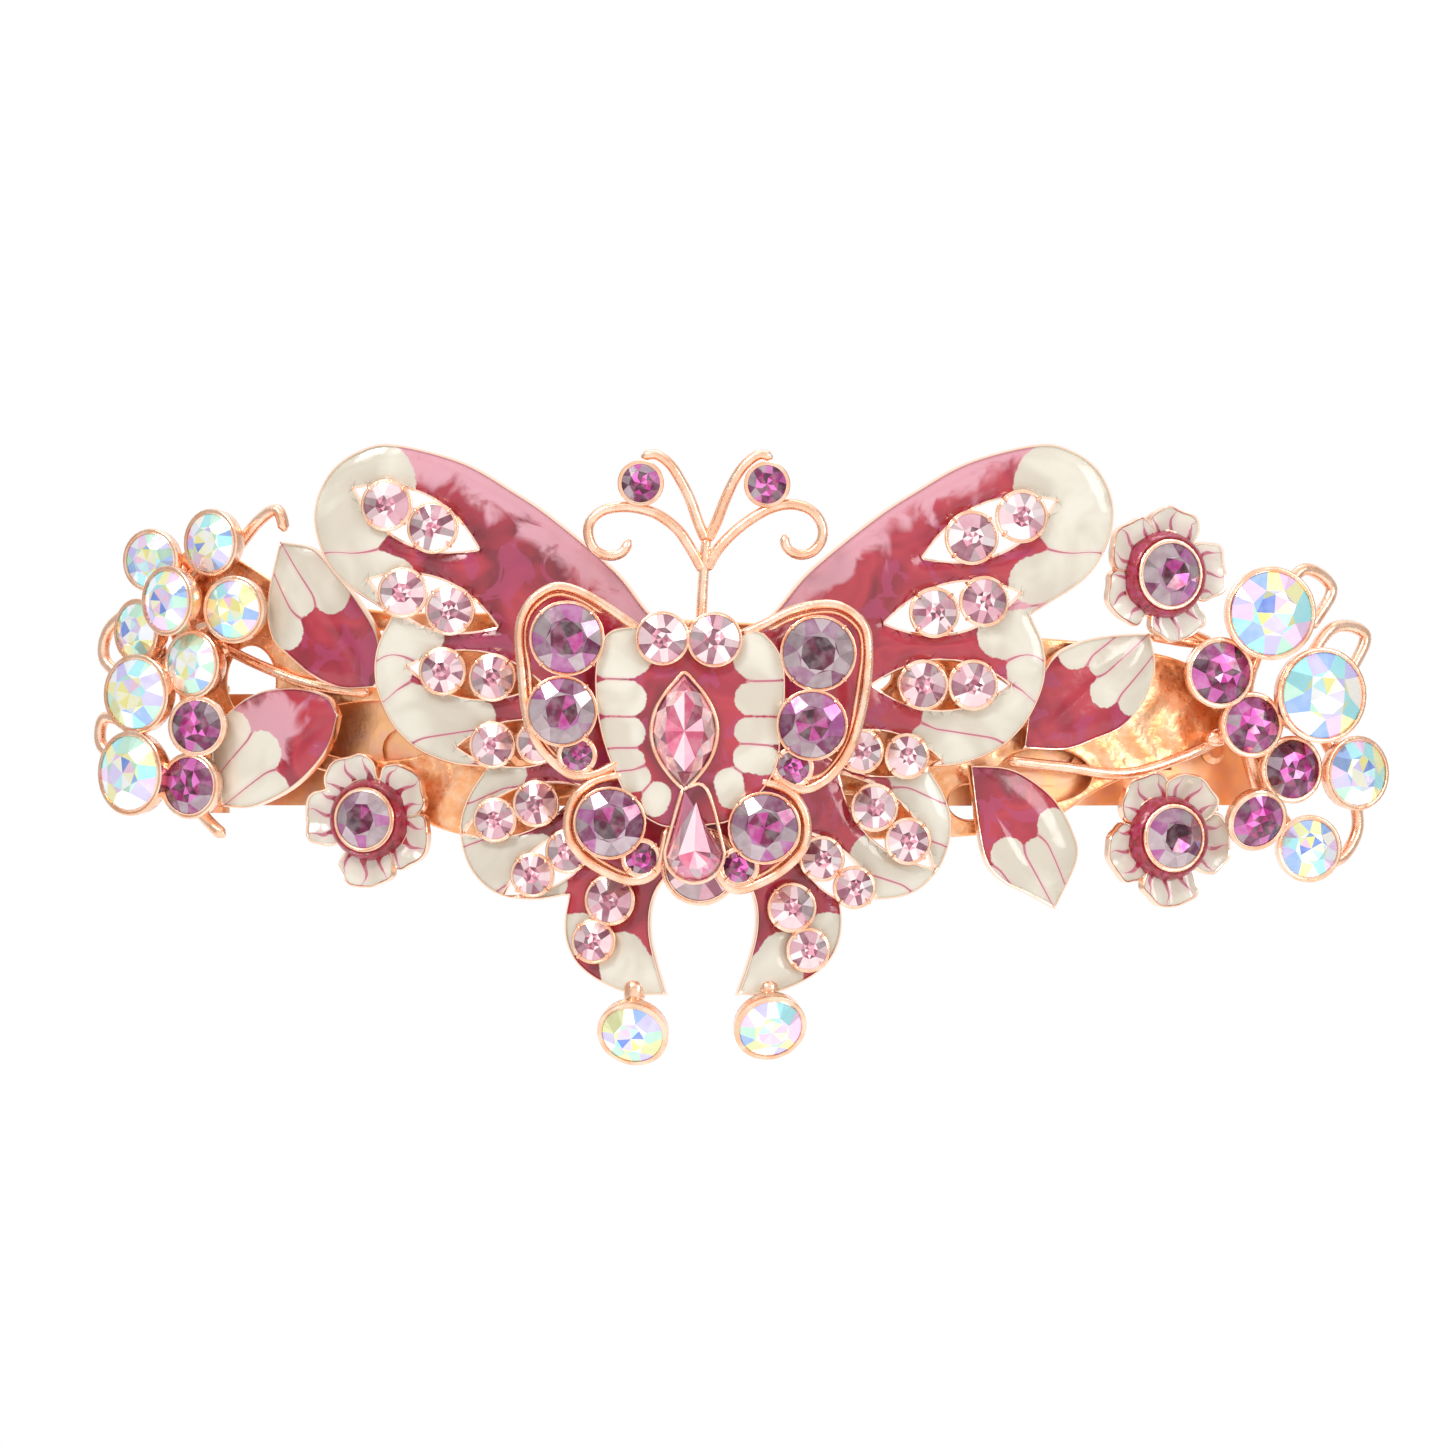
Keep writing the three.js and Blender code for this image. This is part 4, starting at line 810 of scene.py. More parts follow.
# The wing stones, in pairs along each vein, outer one first: (x, z, radius) as they are seen from the front.
WING_STONES = {
    -1: [
        [(-25.3, 19.6, 1.9), (-21.6, 17.8, 1.9)],
        [(-24, 12.6, 1.85), (-20.2, 11.2, 1.85)],
        [(-20.8, 6.3, 1.75), (-16.8, 5.8, 1.75)],
        [(-16.8, 0.4, 1.7), (-13.2, 0.6, 1.55)],
        [(-16.6, -5.6, 1.6), (-13.3, -4.3, 1.7)],
        [(-13.6, -10, 1.6), (-10.8, -8.1, 1.6)],
        [(-7.4, -12, 1.85), (-8.7, -15.3, 1.6)],
    ],
    1: [
        [(25.3, 18.7, 1.95), (21.3, 17, 2)],
        [(22.3, 11.9, 1.85), (18.3, 11, 1.85)],
        [(21.4, 5.2, 1.85), (17.4, 5.2, 1.85)],
        [(16.1, -0.5, 1.65), (12.5, -0.1, 1.6)],
        [(16.2, -7.3, 1.7), (13.5, -4.6, 1.75)],
        [(11.9, -11, 1.55), (9.3, -8.7, 1.65)],
        [(6.9, -12.6, 1.8), (8.2, -16, 1.6)],
    ],
}


def wing(side, casting, gems, rng):
    """One wing in its own plane, which is swept back and leans, with its windows, stones and settings."""
    sweep = side * WING_SWEEP
    origin = np.array([WING_X, WING_FRONT, 0.0])
    across = np.array([math.cos(sweep), math.sin(sweep), 0]) * side
    inward = np.array([-math.sin(sweep), math.cos(sweep), 0])
    up = np.array([math.tan(WING_LEAN), 0, 1])
    stretch = 1 / math.cos(WING_SWEEP)
    start = (WING[0][0] * stretch, WING[0][1])
    wide = [[(x * stretch, z) for x, z in points] for points in WING[1:]]
    edge = outline(start, *wide)
    pairs = []
    for pair in WING_STONES[side]:
        aways = [side * (x - WING_X - z * math.tan(WING_LEAN)) / math.cos(WING_SWEEP) for x, z, _ in pair]
        pairs.append([(away, z, radius) for away, (_, z, radius) in zip(aways, pair)])
    windows = []
    for outer, inner in pairs[:WINDOWED_PAIRS]:
        a, b = np.array(inner[:2]), np.array(outer[:2])
        run = (b - a) / np.linalg.norm(b - a)
        tips = (a - run * (inner[2] + WINDOW_REACH_IN), b + run * (outer[2] + WINDOW_REACH_OUT))
        windows.append(eye(*tips, outer[2] * WINDOW_WIDTH))
    windows += [round_hole(u, w, r * 0.9) for u, w, r in pairs[-1]]
    leading = outline(start, *wide[:2])

    def front(points, far):
        swell = 0.12 * np.sin(points[:, 0] * 0.55 + 1) * np.sin(points[:, 1] * 0.5)
        return -swelling(far, 0.34, 1.6) - swell * np.clip(far / 2, 0, 1)

    def back(points, far):
        return WING_THICKNESS - 0.25 + 0.2 * np.clip(far / 1.5, 0, 1)

    def paint(points, far):
        spread = points / (stretch, 1)
        cream, vein = capsules(spread, WING_FINGERS)
        near = np.min([np.hypot(*(points - p).T) for p in leading], 0)
        upper = np.clip((points[:, 1] - 7) / 3, 0, 1)
        return cream, vein, np.clip(1 - near / PALE_BAND, 0, 1) * upper

    plate(casting, edge, windows, flat_place(origin, across, inward, up), front, back, 0.42, 0, paint)
    for u, w, radius in [stone for pair in pairs for stone in pair]:
        centre = origin + across * u + up * w + inward * -0.75
        spot = Spot(centre, -inward)
        brilliant(gems, spot.turned(rng.random()), radius, "pink", rng)
        cup(casting, spot, radius, wall=0.2, back=1.5, claws=4, slot=1, lip=0.1)


butterfly = Shape()
wing_gems = Shape()
pink_rng = random.Random(5)
for side in (1, -1):
    wing(side, butterfly, wing_gems, pink_rng)
for name in ("abdomen_stone", "tail_stone_left", "tail_stone_right"):
    spot, radius = SPOTS[name]
    cup(butterfly, spot, radius, wall=0.34, slot=1)
for name in ("tail_stone_left", "tail_stone_right"):
    spot, radius = SPOTS[name]
    end = spot(0, radius * 0.6, -radius * 0.7)
    start = (spot.centre[0] * 0.98, WING_FRONT + WING_THICKNESS, TAIL_ROOT)
    tube(butterfly, [start, (np.array(start) + end) / 2, end], TAIL_RADIUS, 12, slot=1)
butterfly.finish("enamel_butterfly", [ENAMEL, ROSE_GOLD], ["large_butterfly"])
wing_gems.finish("wing_rhinestones", STONE, [], smooth=0)

# ---- leaves and flowers

LEAVES = {
    "leaf_upper_left": [
        [-26.3, 5],
        [[-29, 4.9], [-31.2, 5.7], [-33.2, 7.3], [-34.8, 9], [-35.2, 12], [-34.2, 16.8]],
        [[-31.4, 16.2], [-29.7, 14.3], [-27.8, 12], [-26.1, 8.8], [-26.3, 5]],
    ],
    "leaf_lower_left": [
        [-29.4, 2.8],
        [
            [-30.2, 4.2], [-32, 4.9], [-34, 5], [-36, 4.6], [-38, 3.4], [-39.5, 1.6], [-39.8, -1],
            [-38.9, -4.6],
        ],
        [[-36.8, -4.7], [-34.8, -4], [-32.8, -2.8], [-31, -1], [-29.9, 0.8], [-29.4, 2.8]],
    ],
    "leaf_upper_right": [
        [25.6, 0.1],
        [[26.2, 3.8], [27.8, 7.2], [30, 8.6], [32.6, 9.2], [35.9, 9.4]],
        [[36.3, 6.6], [35.4, 3.8], [33.6, 1.8], [31.4, 0.8], [29, 0], [25.6, 0.1]],
    ],
    "leaf_lower_right": [
        [21.3, -1.2],
        [[24.2, -1.4], [26.2, -2.3], [28.2, -4], [29.6, -6.4], [30, -8.8], [28.2, -12.8]],
        [[26, -11.6], [24, -10.6], [22.6, -9], [21.9, -6], [21.3, -1.2]],
    ],
}
LEAF_FINGERS = 4
# A leaf with a light pink cloud in its red, and the cloud's middle and reach
PALE_CLOUD = {"leaf_lower_left": (-35, 2, 4.4)}


def leaf_fingers(base, tip, half_width):
    """Cream fields that spread from the middle of a leaf to its tip."""
    base, tip = np.array(base), np.array(tip)
    run = tip - base
    side = np.array([-run[1], run[0]]) / np.linalg.norm(run)
    fingers = []
    for i in range(LEAF_FINGERS):
        off = (i - (LEAF_FINGERS - 1) / 2) / (LEAF_FINGERS / 2)
        start = base + run * (0.62 + 0.05 * (-1) ** i) + side * off * half_width * 0.95
        end = base + run * 0.98 + side * off * half_width * 0.7
        fingers.append([*start, half_width * 0.3, *end, half_width * 0.36])
    return fingers


def leaf(name, start, *stretches):
    """An enamel leaf from its outline as it is seen from the front."""
    points = [start, *[p for stretch in stretches for p in stretch]]
    low, high = np.min(points, 0), np.max(points, 0)
    middle = (low + high) / 2
    lift = PETAL_LIFT + PETAL_THICKNESS
    turn = arch_turn(middle[0], lift)
    scale = np.array([1 / math.cos(turn), 1])
    flat = [[(np.array(p) - middle) * scale for p in stretch] for stretch in stretches]
    first = (np.array(start) - middle) * scale
    edge = outline(first, *flat, step=0.28)
    base, tip = first, flat[0][-1]
    run = (tip - base) / np.linalg.norm(tip - base)
    side = np.array([-run[1], run[0]])
    half_width = np.abs((edge - base) @ side).max()
    fingers = leaf_fingers(base, tip, half_width)

    def front(points, far):
        rib = np.abs((points - (base + tip) / 2) @ side)
        groove = 0.14 * np.exp(-((rib / 0.35) ** 2)) * np.clip(far, 0, 1)
        return -swelling(far, 0.42, 2.2) + groove

    def back(points, far):
        return PETAL_THICKNESS - 0.15 - 0.2 * np.clip(far / 2, 0, 1)

    def paint(points, far):
        cream, vein = capsules(points, fingers)
        pale = 0 * far
        if name in PALE_CLOUD:
            x, z, reach = PALE_CLOUD[name]
            gone = np.hypot(*(points - (np.array([x, z]) - middle) * scale).T)
            pale = np.clip(1.2 - gone / reach, 0, 1)
        return cream, vein, pale

    shape = Shape()
    plate(shape, edge, [], tangent(*middle, lift), front, back, 0.34, 0, paint)
    shape.finish(f"enamel_{name}", [ENAMEL], [name])


for name, (start, *stretches) in LEAVES.items():
    leaf(name, start, *stretches)

# Each flower's reach and the angles of its petals
FLOWERS = {
    "left": [5.5, [115, 39, -27, -92, 177]],
    "upper_right": [5.5, [79, 140, 208, -73, 5]],
    "lower_right": [5.6, [122, 58, -7, -88, 199]],
}
RED_MIDDLE = 3.0
VEIN_COUNT = 8
# Depth of the gold saucer behind a flower's middle
SAUCER_BACK = -0.86


def flower(name, reach, petals):
    """Overlapping wavy petals round a red middle that holds the stone's setting."""
    stone_at, radius = SPOTS[f"flower_stone_{name}"]
    middle = Spot(stone_at.centre - stone_at.axis * FLOWER_CUP_RISE, stone_at.axis)
    shape = Shape()
    for number, angle in enumerate(petals):
        turn = math.radians(angle)
        out = np.array([math.cos(turn), math.sin(turn)])
        side = np.array([-out[1], out[0]])
        loop = []
        for i in range(72):
            around = 2 * math.pi * i / 72
            waves = 1 + 0.035 * math.sin(5 * around + number) + 0.02 * math.sin(8 * around + 2 * number)
            wide = reach * 0.43 * (1 + 0.16 * math.cos(around)) * math.sin(around) * waves
            loop.append(out * reach * (0.62 + 0.38 * math.cos(around) * waves) + side * wide)
        edge = np.array(loop)
        lift = 0.15 * (number % 2)

        def onto(rows):
            return np.array([middle(u, w, -y) for u, y, w in rows])

        def surface(points):
            gone = np.hypot(*points.T)
            off = (points @ side) / (reach * 0.44)
            curl = 0.75 * np.clip((gone - 2.8) / 3, 0, 1) ** 2 + 0.3 * off**2 - 0.2 * np.cos(off * 5)
            return -curl * np.clip(gone / reach, 0, 1) - lift

        def front(points, far):
            return surface(points) - swelling(far, 0.22, 0.9, 0.12)

        def back(points, far):
            return PETAL_THICKNESS - 0.2 + surface(points) * 0.8

        def paint(points, far):
            along, off = points @ out, points @ side
            turns = np.arctan2(off, along) + 0.05 * np.sin(along * 2.5 + number * 2)
            gone = np.hypot(along, off)
            vein = np.sin((turns + 0.02 * number) * VEIN_COUNT) * gone / VEIN_COUNT
            notch = 0.9 * np.exp(-((vein / 0.22) ** 2))
            cream = gone - RED_MIDDLE - notch - 0.2 * np.sin(turns * 9 + number)
            fade = np.clip((gone - 4.3 - 0.5 * np.cos(turns * 5)) / 0.7, 0, 1)
            return cream, vein + np.where(vein < 0, -0.3, 0.3) * fade, 0 * far

        plate(shape, edge, [], onto, front, back, 0.26, 0, paint)
    hub = radius + 0.95
    lathe(
        shape,
        middle,
        [
            (0, -PETAL_THICKNESS), (hub - 0.3, -PETAL_THICKNESS), (hub + 0.1, 0), (hub - 0.05, 0.5),
            (hub - 0.25, FLOWER_CUP_RISE - 0.2), (radius + 0.5, FLOWER_CUP_RISE),
            (radius + 0.3, FLOWER_CUP_RISE - 0.1), (radius * 0.6, 0.1), (0, -0.4),
        ],
        40,
        2,
    )
    saucer = [(0, SAUCER_BACK), (hub - 0.3, SAUCER_BACK), (hub + 0.16, 0.02), (hub + 0.1, 0.2), (0, 0.2)]
    lathe(shape, middle, saucer, 40, 1)
    cup(shape, stone_at, radius, slot=1)
    shape.finish(f"enamel_flower_{name}", [ENAMEL, ROSE_GOLD, RED_ENAMEL], [f"flower_{name}"])


for name, (reach, petals) in FLOWERS.items():
    flower(name, reach, petals)

# ---- sprays

# Wires of each spray, loops with how far they stand in front, and where each numbered stone's stem starts
SPRAYS = {
    "left": {
        "twigs": [[[-27, 4.6], [-31.6, 5.25], [-35.6, 6.7], [-39.6, 8.6]]],
        "spines": [
            [[-38.4, 8], [-41.4, 8.2], [-44, 6.6], [-45.4, 3.4], [-46, -0.6]],
            [[-41.2, 7.6], [-41.4, 11], [-41.9, 14.2]],
            [[-42.4, 7.4], [-41.7, 3.6], [-41.4, -1.4]],
        ],
        "loops": [
            [[[-46.6, 11.4], [-48.4, 9.6], [-48.7, 7.4], [-47, 5.6]], 1],
            [[[-46.4, 2], [-48.6, 2.6], [-49, 0.6], [-47.6, -1]], 1.5],
            [[[-38.4, 15.4], [-36, 18.4], [-34.4, 19.3], [-33.8, 17.6]], 0.6],
            [[[-41.8, -3.4], [-40.2, -5.6], [-38.7, -7]], 2],
        ],
        "clear_stone": [
            [-42, 14], [-41.7, 13.6], [-41.5, 11.4], [-41.2, 9.6], [-44, 6.8], [-41.6, 7.4],
            [-44.8, 5], [-45.8, 0],
        ],
        "amethyst": [[-41.6, 2.6], [-41.5, -1.6]],
    },
    "right": {
        "twigs": [
            [[24.4, -0.9], [29, -1.4], [34, -1.9], [38.6, -0.6], [42.4, 1.2]],
            [[45.6, 8.4], [40, 8.6], [36, 9.2]],
            [[41, 8.6], [38.4, 10], [37, 12.4]],
        ],
        "spines": [
            [[40.6, 0.8], [44, 1.6], [47, 2.4], [49.6, 3.6]],
            [[43.6, 1.4], [43.8, 5.4], [45.4, 9.6]],
            [[43.8, 1.6], [45, -3], [47.8, -7]],
        ],
        "loops": [
            [[[46.6, 12.6], [48.6, 14.6], [50.8, 13], [49, 9.8]], 2.6],
            [[[48.6, 7], [51, 9.9], [53.6, 9.2], [52, 5.6]], 2.8],
            [[[52.6, -3], [53, -6.4], [51.6, -8.8], [49.6, -9]], 2],
        ],
        "clear_stone": [[45.2, 9.2], [49.4, 3.5], [49.4, 3.4], [47.6, -6.8]],
        "amethyst": [[43.8, 5], [44.2, 1.8], [44.8, -2], [45.4, -4]],
    },
}

for side, parts in SPRAYS.items():
    shape = Shape()
    for points in parts["twigs"]:
        tube(shape, on_arch(points, TWIG_LIFT), TWIG_RADIUS, 10)
    for points in parts["spines"]:
        tube(shape, on_arch(points, SPINE_LIFT), SPINE_RADIUS, 12, tip=0.6)
    for points, rise in parts["loops"]:
        tube(shape, on_arch(points, SPINE_LIFT + rise), CURL_RADIUS, 10)
    for kind in ("clear_stone", "amethyst"):
        for number, foot in enumerate(parts[kind], 1):
            spot, radius = SPOTS[f"{kind}_{side}_{number}"]
            back = spot(0, 0, -PAVILION * radius - 0.3)
            root = np.array(on_arch([foot], SPINE_LIFT)[0])
            tube(shape, [back, back * 0.5 + root * 0.5 + spot.axis * -0.2, root], STEM_RADIUS, 12, tip=0.7)
            cup(shape, spot, radius, wall=0.34)
    shape.finish(f"cast_spray_{side}", [ROSE_GOLD], [f"spray_{side}"])

# ---- small butterfly

SMALL_LOOPS = [
    [
        [-5.2, 9.6], [-7.8, 11.4], [-9.9, 12.6], [-11.8, 13], [-13.4, 12.2], [-14.4, 10.8], [-14.7, 9],
        [-14.5, 6.4], [-14.2, 3.4], [-13.6, 1.3], [-12.5, -0.4], [-10.6, -1.9], [-8.7, -1.9], [-6.6, -0.9],
    ],
    [
        [3, 9.2], [4.8, 10], [7.3, 11.2], [10, 11.6], [11.7, 11], [12.8, 9.8], [13.1, 8], [13, 5.9],
        [12.7, 3.8], [12.1, 1.4], [11.2, -0.6], [9.6, -2.4], [7.6, -3.1], [5.4, -1.8],
    ],
    [
        [-6.4, -1.9], [-8.7, -2.5], [-10.2, -3.7], [-10.8, -5.3], [-10.7, -7], [-9.7, -8.4], [-8, -9.6],
        [-5.6, -10.4], [-3.7, -9.4], [-2.9, -6.2],
    ],
    [
        [4.4, -2.4], [6.6, -3.2], [7.8, -4.5], [8.2, -6], [8, -7.6], [6.9, -9], [5, -10.3], [2.6, -11.1],
        [1.2, -9.8], [0.5, -6.4],
    ],
]
SMALL_PLATE = [
    [-4.6, 10],
    [[-7.6, 9.4], [-8.6, 7], [-8.6, 3.6], [-8, 0.6], [-7.2, -1.6], [-5.8, -4.4], [-3.6, -6], [-1.6, -6.2]],
    [
        [0.4, -6], [2.2, -5.6], [4.2, -3.8], [5.8, -1.4], [6.2, 1.6], [6.5, 4.6], [6.2, 7.4], [4.6, 9.4],
        [2.2, 9.6],
    ],
    [[-4.6, 10]],
]
SMALL_FINGERS = [
    [-7.4, 7.8, 2.1, -6.1, 7.8, 2.1],
    [-7.6, 4.2, 1.45, -6.0, 4.1, 1.45],
    [-7.4, 1.4, 1.25, -5.9, 1.4, 1.25],
    [-7, -0.9, 1.1, -5.8, -0.9, 1.1],
    [-6.4, -2.4, 1.1, -5.3, -2.2, 1.1],
    [-3.9, -4.2, 1.1, -3.7, -3.6, 1.1],
    [2.2, -3.6, 1.1, 2.0, -2.6, 1.2],
    [4.8, -0.8, 1.2, 3.5, -0.6, 1.2],
    [5.6, 1.5, 1.1, 3.5, 1.5, 1.1],
    [6, 4.1, 1.4, 3.7, 4.1, 1.3],
    [5.6, 7.5, 1.95, 4.2, 7.5, 1.95],
]
MARQUISE = {"x": -1.55, "z": 1.5, "half_length": 4.5, "half_width": 2.5}
# The stones on the lower wings: x, z and diameter
ACCENTS = [(-10.1, -0.4, 2.6), (7.1, -1.4, 2.7), (-5, -8.6, 2.6), (2.8, -9.3, 2.6)]
PEAR = {"x": -0.75, "top": -3.2, "bottom": -10.4, "top_half": 0.8, "bottom_half": 2.25}


def marquise_loop(grow):
    reach = MARQUISE["half_length"] + grow * 1.4
    x, z = MARQUISE["x"], MARQUISE["z"]
    return eye((x, z - reach), (x, z + reach), MARQUISE["half_width"] + grow)


def pear_loop(grow, steps=9):
    x, low, wide = PEAR["x"], PEAR["bottom"] - grow, PEAR["bottom_half"] + grow
    top = PEAR["top"] + grow
    shoulder = PEAR["bottom"] + PEAR["bottom_half"]
    loop = [(x - PEAR["top_half"] - grow, top), (x + PEAR["top_half"] + grow, top)]
    for i in range(2 * steps + 1):
        turn = math.pi * i / (2 * steps)
        loop.append((x + wide * math.cos(turn), shoulder - (shoulder - low) * math.sin(turn)))
    return np.array(loop)


def fancy(name, loop_of, centre, count, rng):
    """A stone of any outline: a small table painted in the mirror's tints as its reflection, main facets down
    to the girdle, and mirror facets behind.
    """
    girdle, table = loop_of(0), loop_of(-0.95)
    picks = [round(i * len(girdle) / count) % len(girdle) for i in range(count)]
    inner, rims = table[picks], girdle[picks]
    mids = (rims + np.roll(rims, -1, 0)) / 2 * 0.52 + (inner + np.roll(inner, -1, 0)) / 2 * 0.48
    front, y = SMALL_GIRDLE - 1.1, SMALL_GIRDLE + 0.1
    points = [
        (x, out, z)
        for rows, out in [
            (inner, front),
            (mids, (front + y) / 2 - 0.06),
            (rims, y),
            (mids * 0.5 + centre * 0.5, y + 0.32),
            ([centre], y + 0.5),
            ([centre], front),
        ]
        for x, z in rows
    ]
    middle, rim, under, culet, star_middle = [count * i for i in (1, 2, 3, 4)] + [4 * count + 1]
    star, crown, foil = [], [], []
    for i in range(count):
        n, b = (i + 1) % count, (i - 1) % count
        star.append((i, n, star_middle))
        crown += [(i, n, middle + i), (i, middle + b, rim + i, middle + i), (middle + i, rim + i, rim + n)]
        foil += [(rim + i, rim + n, under + i), (culet, under + b, rim + i, under + i)]
    shape = Shape()
    painted_facets(shape, points, "rose", rng, star, crown, foil)
    shape.finish(f"cut_{name}", STONE, [name], smooth=0)


fancy("marquise_stone", marquise_loop, np.array([MARQUISE["x"], MARQUISE["z"]]), 12, random.Random(3))
fancy("pear_stone", pear_loop, np.array([PEAR["x"], -8.0]), 10, random.Random(4))

small = Shape()
small_edge = outline(*SMALL_PLATE)


def small_front(points, far):
    return SMALL_FRONT - swelling(far, 0.3, 1.4)


def small_back(points, far):
    return np.full(len(far), SMALL_FRONT + SMALL_THICKNESS - 0.2)


def small_paint(points, far):
    return *capsules(points, SMALL_FINGERS), 0 * far


set_stones = [SPOTS[name] for name in SPOTS if name.startswith("wing_amethyst")]
head_stones = [SPOTS["head_stone_left"], SPOTS["head_stone_right"]]
beds = [round_hole(at.centre[0], at.centre[2], radius * 0.94) for at, radius in set_stones + head_stones]
plate(small, small_edge, beds, lambda rows: rows, small_front, small_back, 0.34, 0, small_paint)
loop_y = SMALL_FRONT + SMALL_THICKNESS - 0.95
for points in SMALL_LOOPS:
    tube(small, [(x, loop_y, z) for x, z in points], LOOP_RADIUS, 12, slot=1)
    middle = np.mean(points, 0)
    inner = [np.array(p) + (middle - p) / np.linalg.norm(middle - p) * 0.58 for p in points[1:-1]]
    tube(small, [(x, loop_y + 0.45, z) for x, z in inner], 0.24, 10, slot=1)
for stones, claws in ((set_stones, 4), (head_stones, 0)):
    for spot, radius in stones:
        cup(small, spot, radius, wall=0.16, back=1.9, claws=claws, slot=1, lip=0.06)
for loop_of in (marquise_loop, pear_loop):
    loop = [(x, SMALL_GIRDLE + 0.05, z) for x, z in loop_of(0.14)]
    tube(small, [*loop, loop[0]], 0.17, 10, 0.3, slot=1)
accents = Shape()
accent_rng = random.Random(8)
for x, z, diameter in ACCENTS:
    spot = Spot((x, SMALL_GIRDLE + 0.9, z), (0, -1, 0))
    brilliant(accents, spot, diameter / 2, "plum", accent_rng)
    cup(small, spot, diameter / 2, wall=0.32, back=1.3, claws=4, slot=1, lip=0.16)
small.finish("enamel_small_butterfly", [ENAMEL, ROSE_GOLD], ["small_butterfly"])
accents.finish("accent_rhinestones", STONE, [], smooth=0)

# ---- antennae

ANTENNA_WIRES = [
    [[-0.3, 6.4], [-0.2, 10.8], [0, 14.4], [0.2, 17]],
    [
        [0, 14.2], [-1, 16], [-2.1, 17.6], [-3.7, 18.8], [-5.3, 19.3], [-6.7, 19.4], [-8.1, 19.1],
        [-9.1, 18.2], [-9.2, 17], [-8.6, 15.9], [-7.5, 15.5], [-6.5, 15.8], [-5.9, 16.8],
    ],
    [[0.2, 16.6], [-0.5, 18.3], [-1.1, 20], [-1.9, 21.6], [-2.8, 22.9], [-3.9, 23.6], [-5, 23.4]],
    [[0.2, 16.6], [1, 18.2], [1.7, 20], [2.5, 21.7], [3.4, 22.9], [4.5, 23.6], [5.5, 23.3]],
    [
        [0.1, 14.3], [1.1, 16], [2.4, 17.4], [4, 18.6], [5.6, 19.4], [7.2, 19.6], [8.6, 19.1], [9.4, 18],
        [9.4, 16.8], [8.6, 15.8], [7.5, 15.6], [6.6, 16.2], [6.4, 17.2],
    ],
]
feelers = Shape()
for points in ANTENNA_WIRES:
    tube(feelers, [(x, ANTENNA_Y, z) for x, z in points], ANTENNA_RADIUS, 12, tip=0.4)
for name in ("antenna_stone_left", "antenna_stone_right"):
    spot, radius = SPOTS[name]
    cup(feelers, spot, radius)
feelers.finish("cast_antennae", [ROSE_GOLD], ["antennae"])

# ---- frame and mechanism

FRAME_EDGE = [
    [-40.3, 4],
    [
        [-42.6, 7.4], [-43.6, 11.4], [-42.6, 15.6], [-39.6, 16.6], [-37, 15], [-33, 12.8], [-26, 11.2],
        [-17, 11], [0, 10.4],
    ],
    [[14, 9.6], [27, 9], [34, 8.2], [39, 7], [41.8, 4.6], [41.6, 1], [39, -1], [35, -1.8]],
    [[31.5, -3.4], [27, -6], [20, -7], [8, -7.2], [-8, -7], [-18, -7], [-23, -5.6], [-27, -3], [-33, -1]],
    [[-37, 0.6], [-39.4, 2], [-40.3, 4]],
]
# Round holes between two values of x and two of z
FRAME_HOLES = [
    (-38.6, -34.6, 2.6, 8.4), (-32.5, -20.5, -0.9, 3.9), (-32, -20, 5.2, 9.6), (-13, -2, -5.4, -3.6),
    (-13, -1.5, 4, 8.6), (5.5, 15, 4, 8), (6, 15.5, -5.6, -3.6), (19.6, 23, -5.6, -2.8),
    (23.6, 31.2, -4.2, 0.1), (21, 31, 2, 7.2),
]
FRAME_FRONT = FRAME_LIFT + FRAME_THICKNESS


def onto_arch(rows):
    return np.column_stack([rows[:, 0], arch_y(rows[:, 0], FRAME_FRONT) + rows[:, 1], rows[:, 2]])


def frame_front(points, far):
    ripple = 0.12 * np.sin(points[:, 0] * 1.9 + 2 * np.sin(points[:, 1] * 0.9)) * np.clip(far, 0, 1)
    return -bead(far, 0.16, 0.5) + 0.05 + ripple


def frame_back(points, far):
    return np.full(len(far), FRAME_THICKNESS - 0.02)


openwork = Shape()
frame_edge = outline(*FRAME_EDGE, step=0.5)
plate(openwork, frame_edge, [ellipse(*hole) for hole in FRAME_HOLES], onto_arch, frame_front, frame_back, 0.6)
openwork.finish("cast_base_frame", [TEXTURED_GOLD], ["base_frame"])

# The mechanism keeps its CAD shape
for name in (
    "clip_bar", "clip_arm", "tension_bow", "hinge_pin", "catch_bracket", "catch_prong_upper",
    "catch_prong_lower", "catch_rivet", "rivet_left", "rivet_right", "butterfly_rivet",
):
    for material_slot in NODES[name].material_slots:
        material_slot.material = GILT_STEEL

# ---- floor, light and camera


def place(name, data):
    """Adds an object that stays where it is."""
    thing = bpy.data.objects.new(name, data)
    bpy.context.scene.collection.objects.link(thing)
    return thing


# Each light's place and the width and height of its face, in metres, and its power
for name, spot, size, power in [
    ("key", (-0.35, -0.5, 0.55), (0.25, 0.25), 2.2),
    ("fill", (0.55, -0.45, 0.2), (0.2, 0.35), 1.1),
    ("top", (0.05, 0.1, 0.6), (0.5, 0.15), 0.7),
    ("low", (0.1, -0.4, -0.35), (0.3, 0.1), 0.35),
]:
    light = bpy.data.lights.new(name, "AREA")
    light.shape = "RECTANGLE"
    light.size, light.size_y = size
    light.energy = power
    lamp = place(name, light)
    lamp.location = spot
    lamp.rotation_euler = (-lamp.location).to_track_quat("-Z", "Y").to_euler()

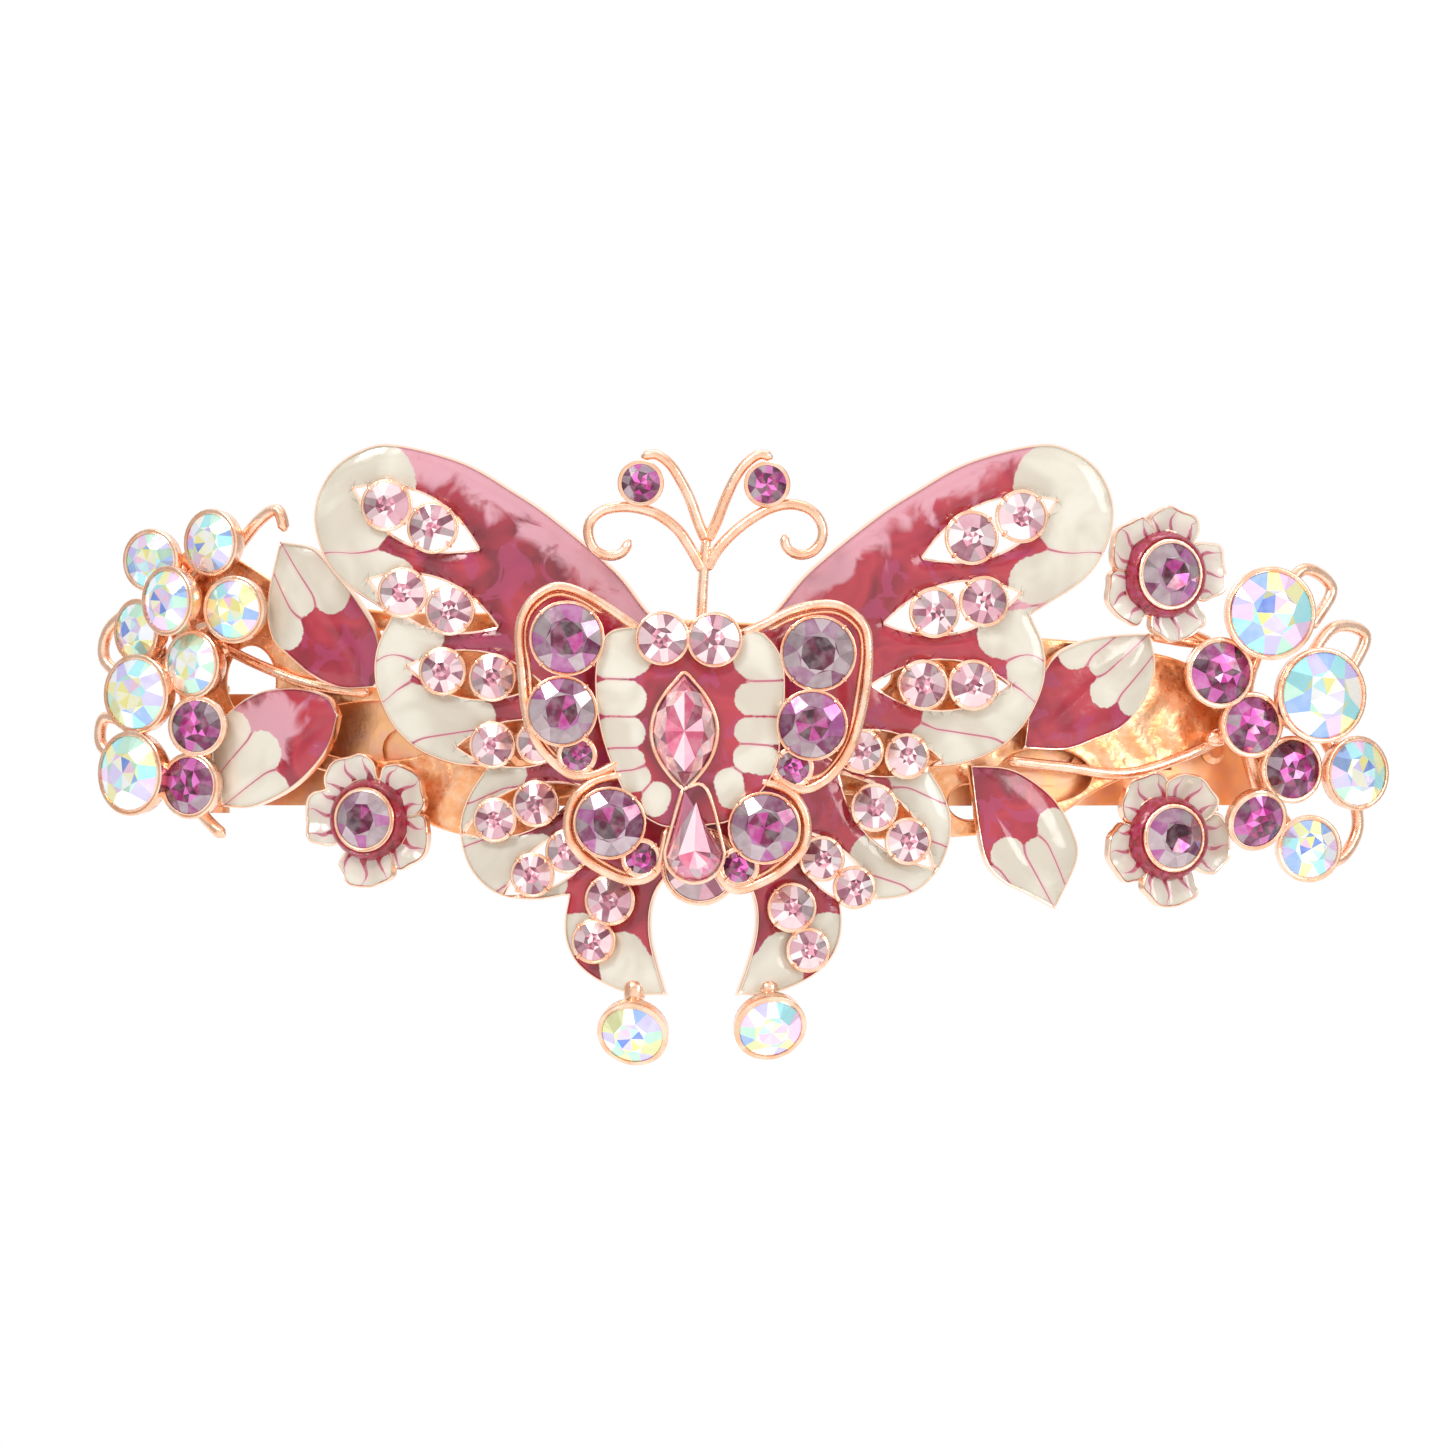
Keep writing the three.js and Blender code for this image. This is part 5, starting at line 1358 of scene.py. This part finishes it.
# The studio has bright walls with darker panels between them, which give metal and stones something to
# mirror. The camera itself sees it white.
world = bpy.data.worlds.new("studio")
bpy.context.scene.world = world
world.use_nodes = True
studio = Graph(world.node_tree)
view = studio.add("ShaderNodeTexCoord").outputs["Generated"]
x, y, z = studio.add("ShaderNodeSeparateXYZ", {0: view}).outputs
seen = studio.add("ShaderNodeLightPath").outputs["Is Camera Ray"]
sides = studio.step(studio.math("ABSOLUTE", x), 0.5, 0.85, 0, 0.45)
below = studio.step(z, -0.85, -0.3, 0.6, 0)
strip = studio.step(studio.math("ABSOLUTE", studio.math("SUBTRACT", z, 0.42)), 0.05, 0.1, 0.55, 0)
strip = studio.math("MULTIPLY", strip, studio.step(y, -0.1, 0.1, 1, 0))
shade = studio.math("MAXIMUM", studio.math("MAXIMUM", sides, below), strip)
mirrored = studio.math("MULTIPLY", studio.math("SUBTRACT", 1.0, shade), 1.1)
mirrored = studio.math("MULTIPLY", mirrored, studio.math("SUBTRACT", 1.0, seen))
background = studio.tree.nodes["Background"]
studio.feed(background.inputs["Color"], WHITE)
studio.feed(background.inputs["Strength"], studio.math("ADD", seen, mirrored))

# Half the floor's side, and its height, in metres
FLOOR_HALF = 0.3
FLOOR_Z = -0.12
floor_mesh = bpy.data.meshes.new("floor")
corners = [(-1, -1), (1, -1), (1, 1), (-1, 1)]
floor_mesh.from_pydata([(x * FLOOR_HALF, y * FLOOR_HALF, FLOOR_Z) for x, y in corners], [], [(0, 1, 2, 3)])
floor_mesh.materials.append(Nodes("pale_floor").set(Base_Color=(0.9, 0.9, 0.9, 1), Roughness=0.9))
place("floor", floor_mesh)

# Width of the view at the wings, the camera's distance from them, and where it looks
VIEW_WIDTH = 115.6
VIEW_DISTANCE = 1200
VIEW_X = 1.48
VIEW_Y = -12
VIEW_Z = 2.2
camera_data = bpy.data.cameras.new("camera")
camera_data.sensor_width = 36
camera_data.lens = camera_data.sensor_width * VIEW_DISTANCE / VIEW_WIDTH
camera = place("camera", camera_data)
camera.location = (VIEW_X * MM, (VIEW_Y - VIEW_DISTANCE) * MM, VIEW_Z * MM)
camera.rotation_euler = (math.pi / 2, 0, 0)
bpy.context.scene.camera = camera
bpy.context.scene.view_settings.view_transform = "Standard"
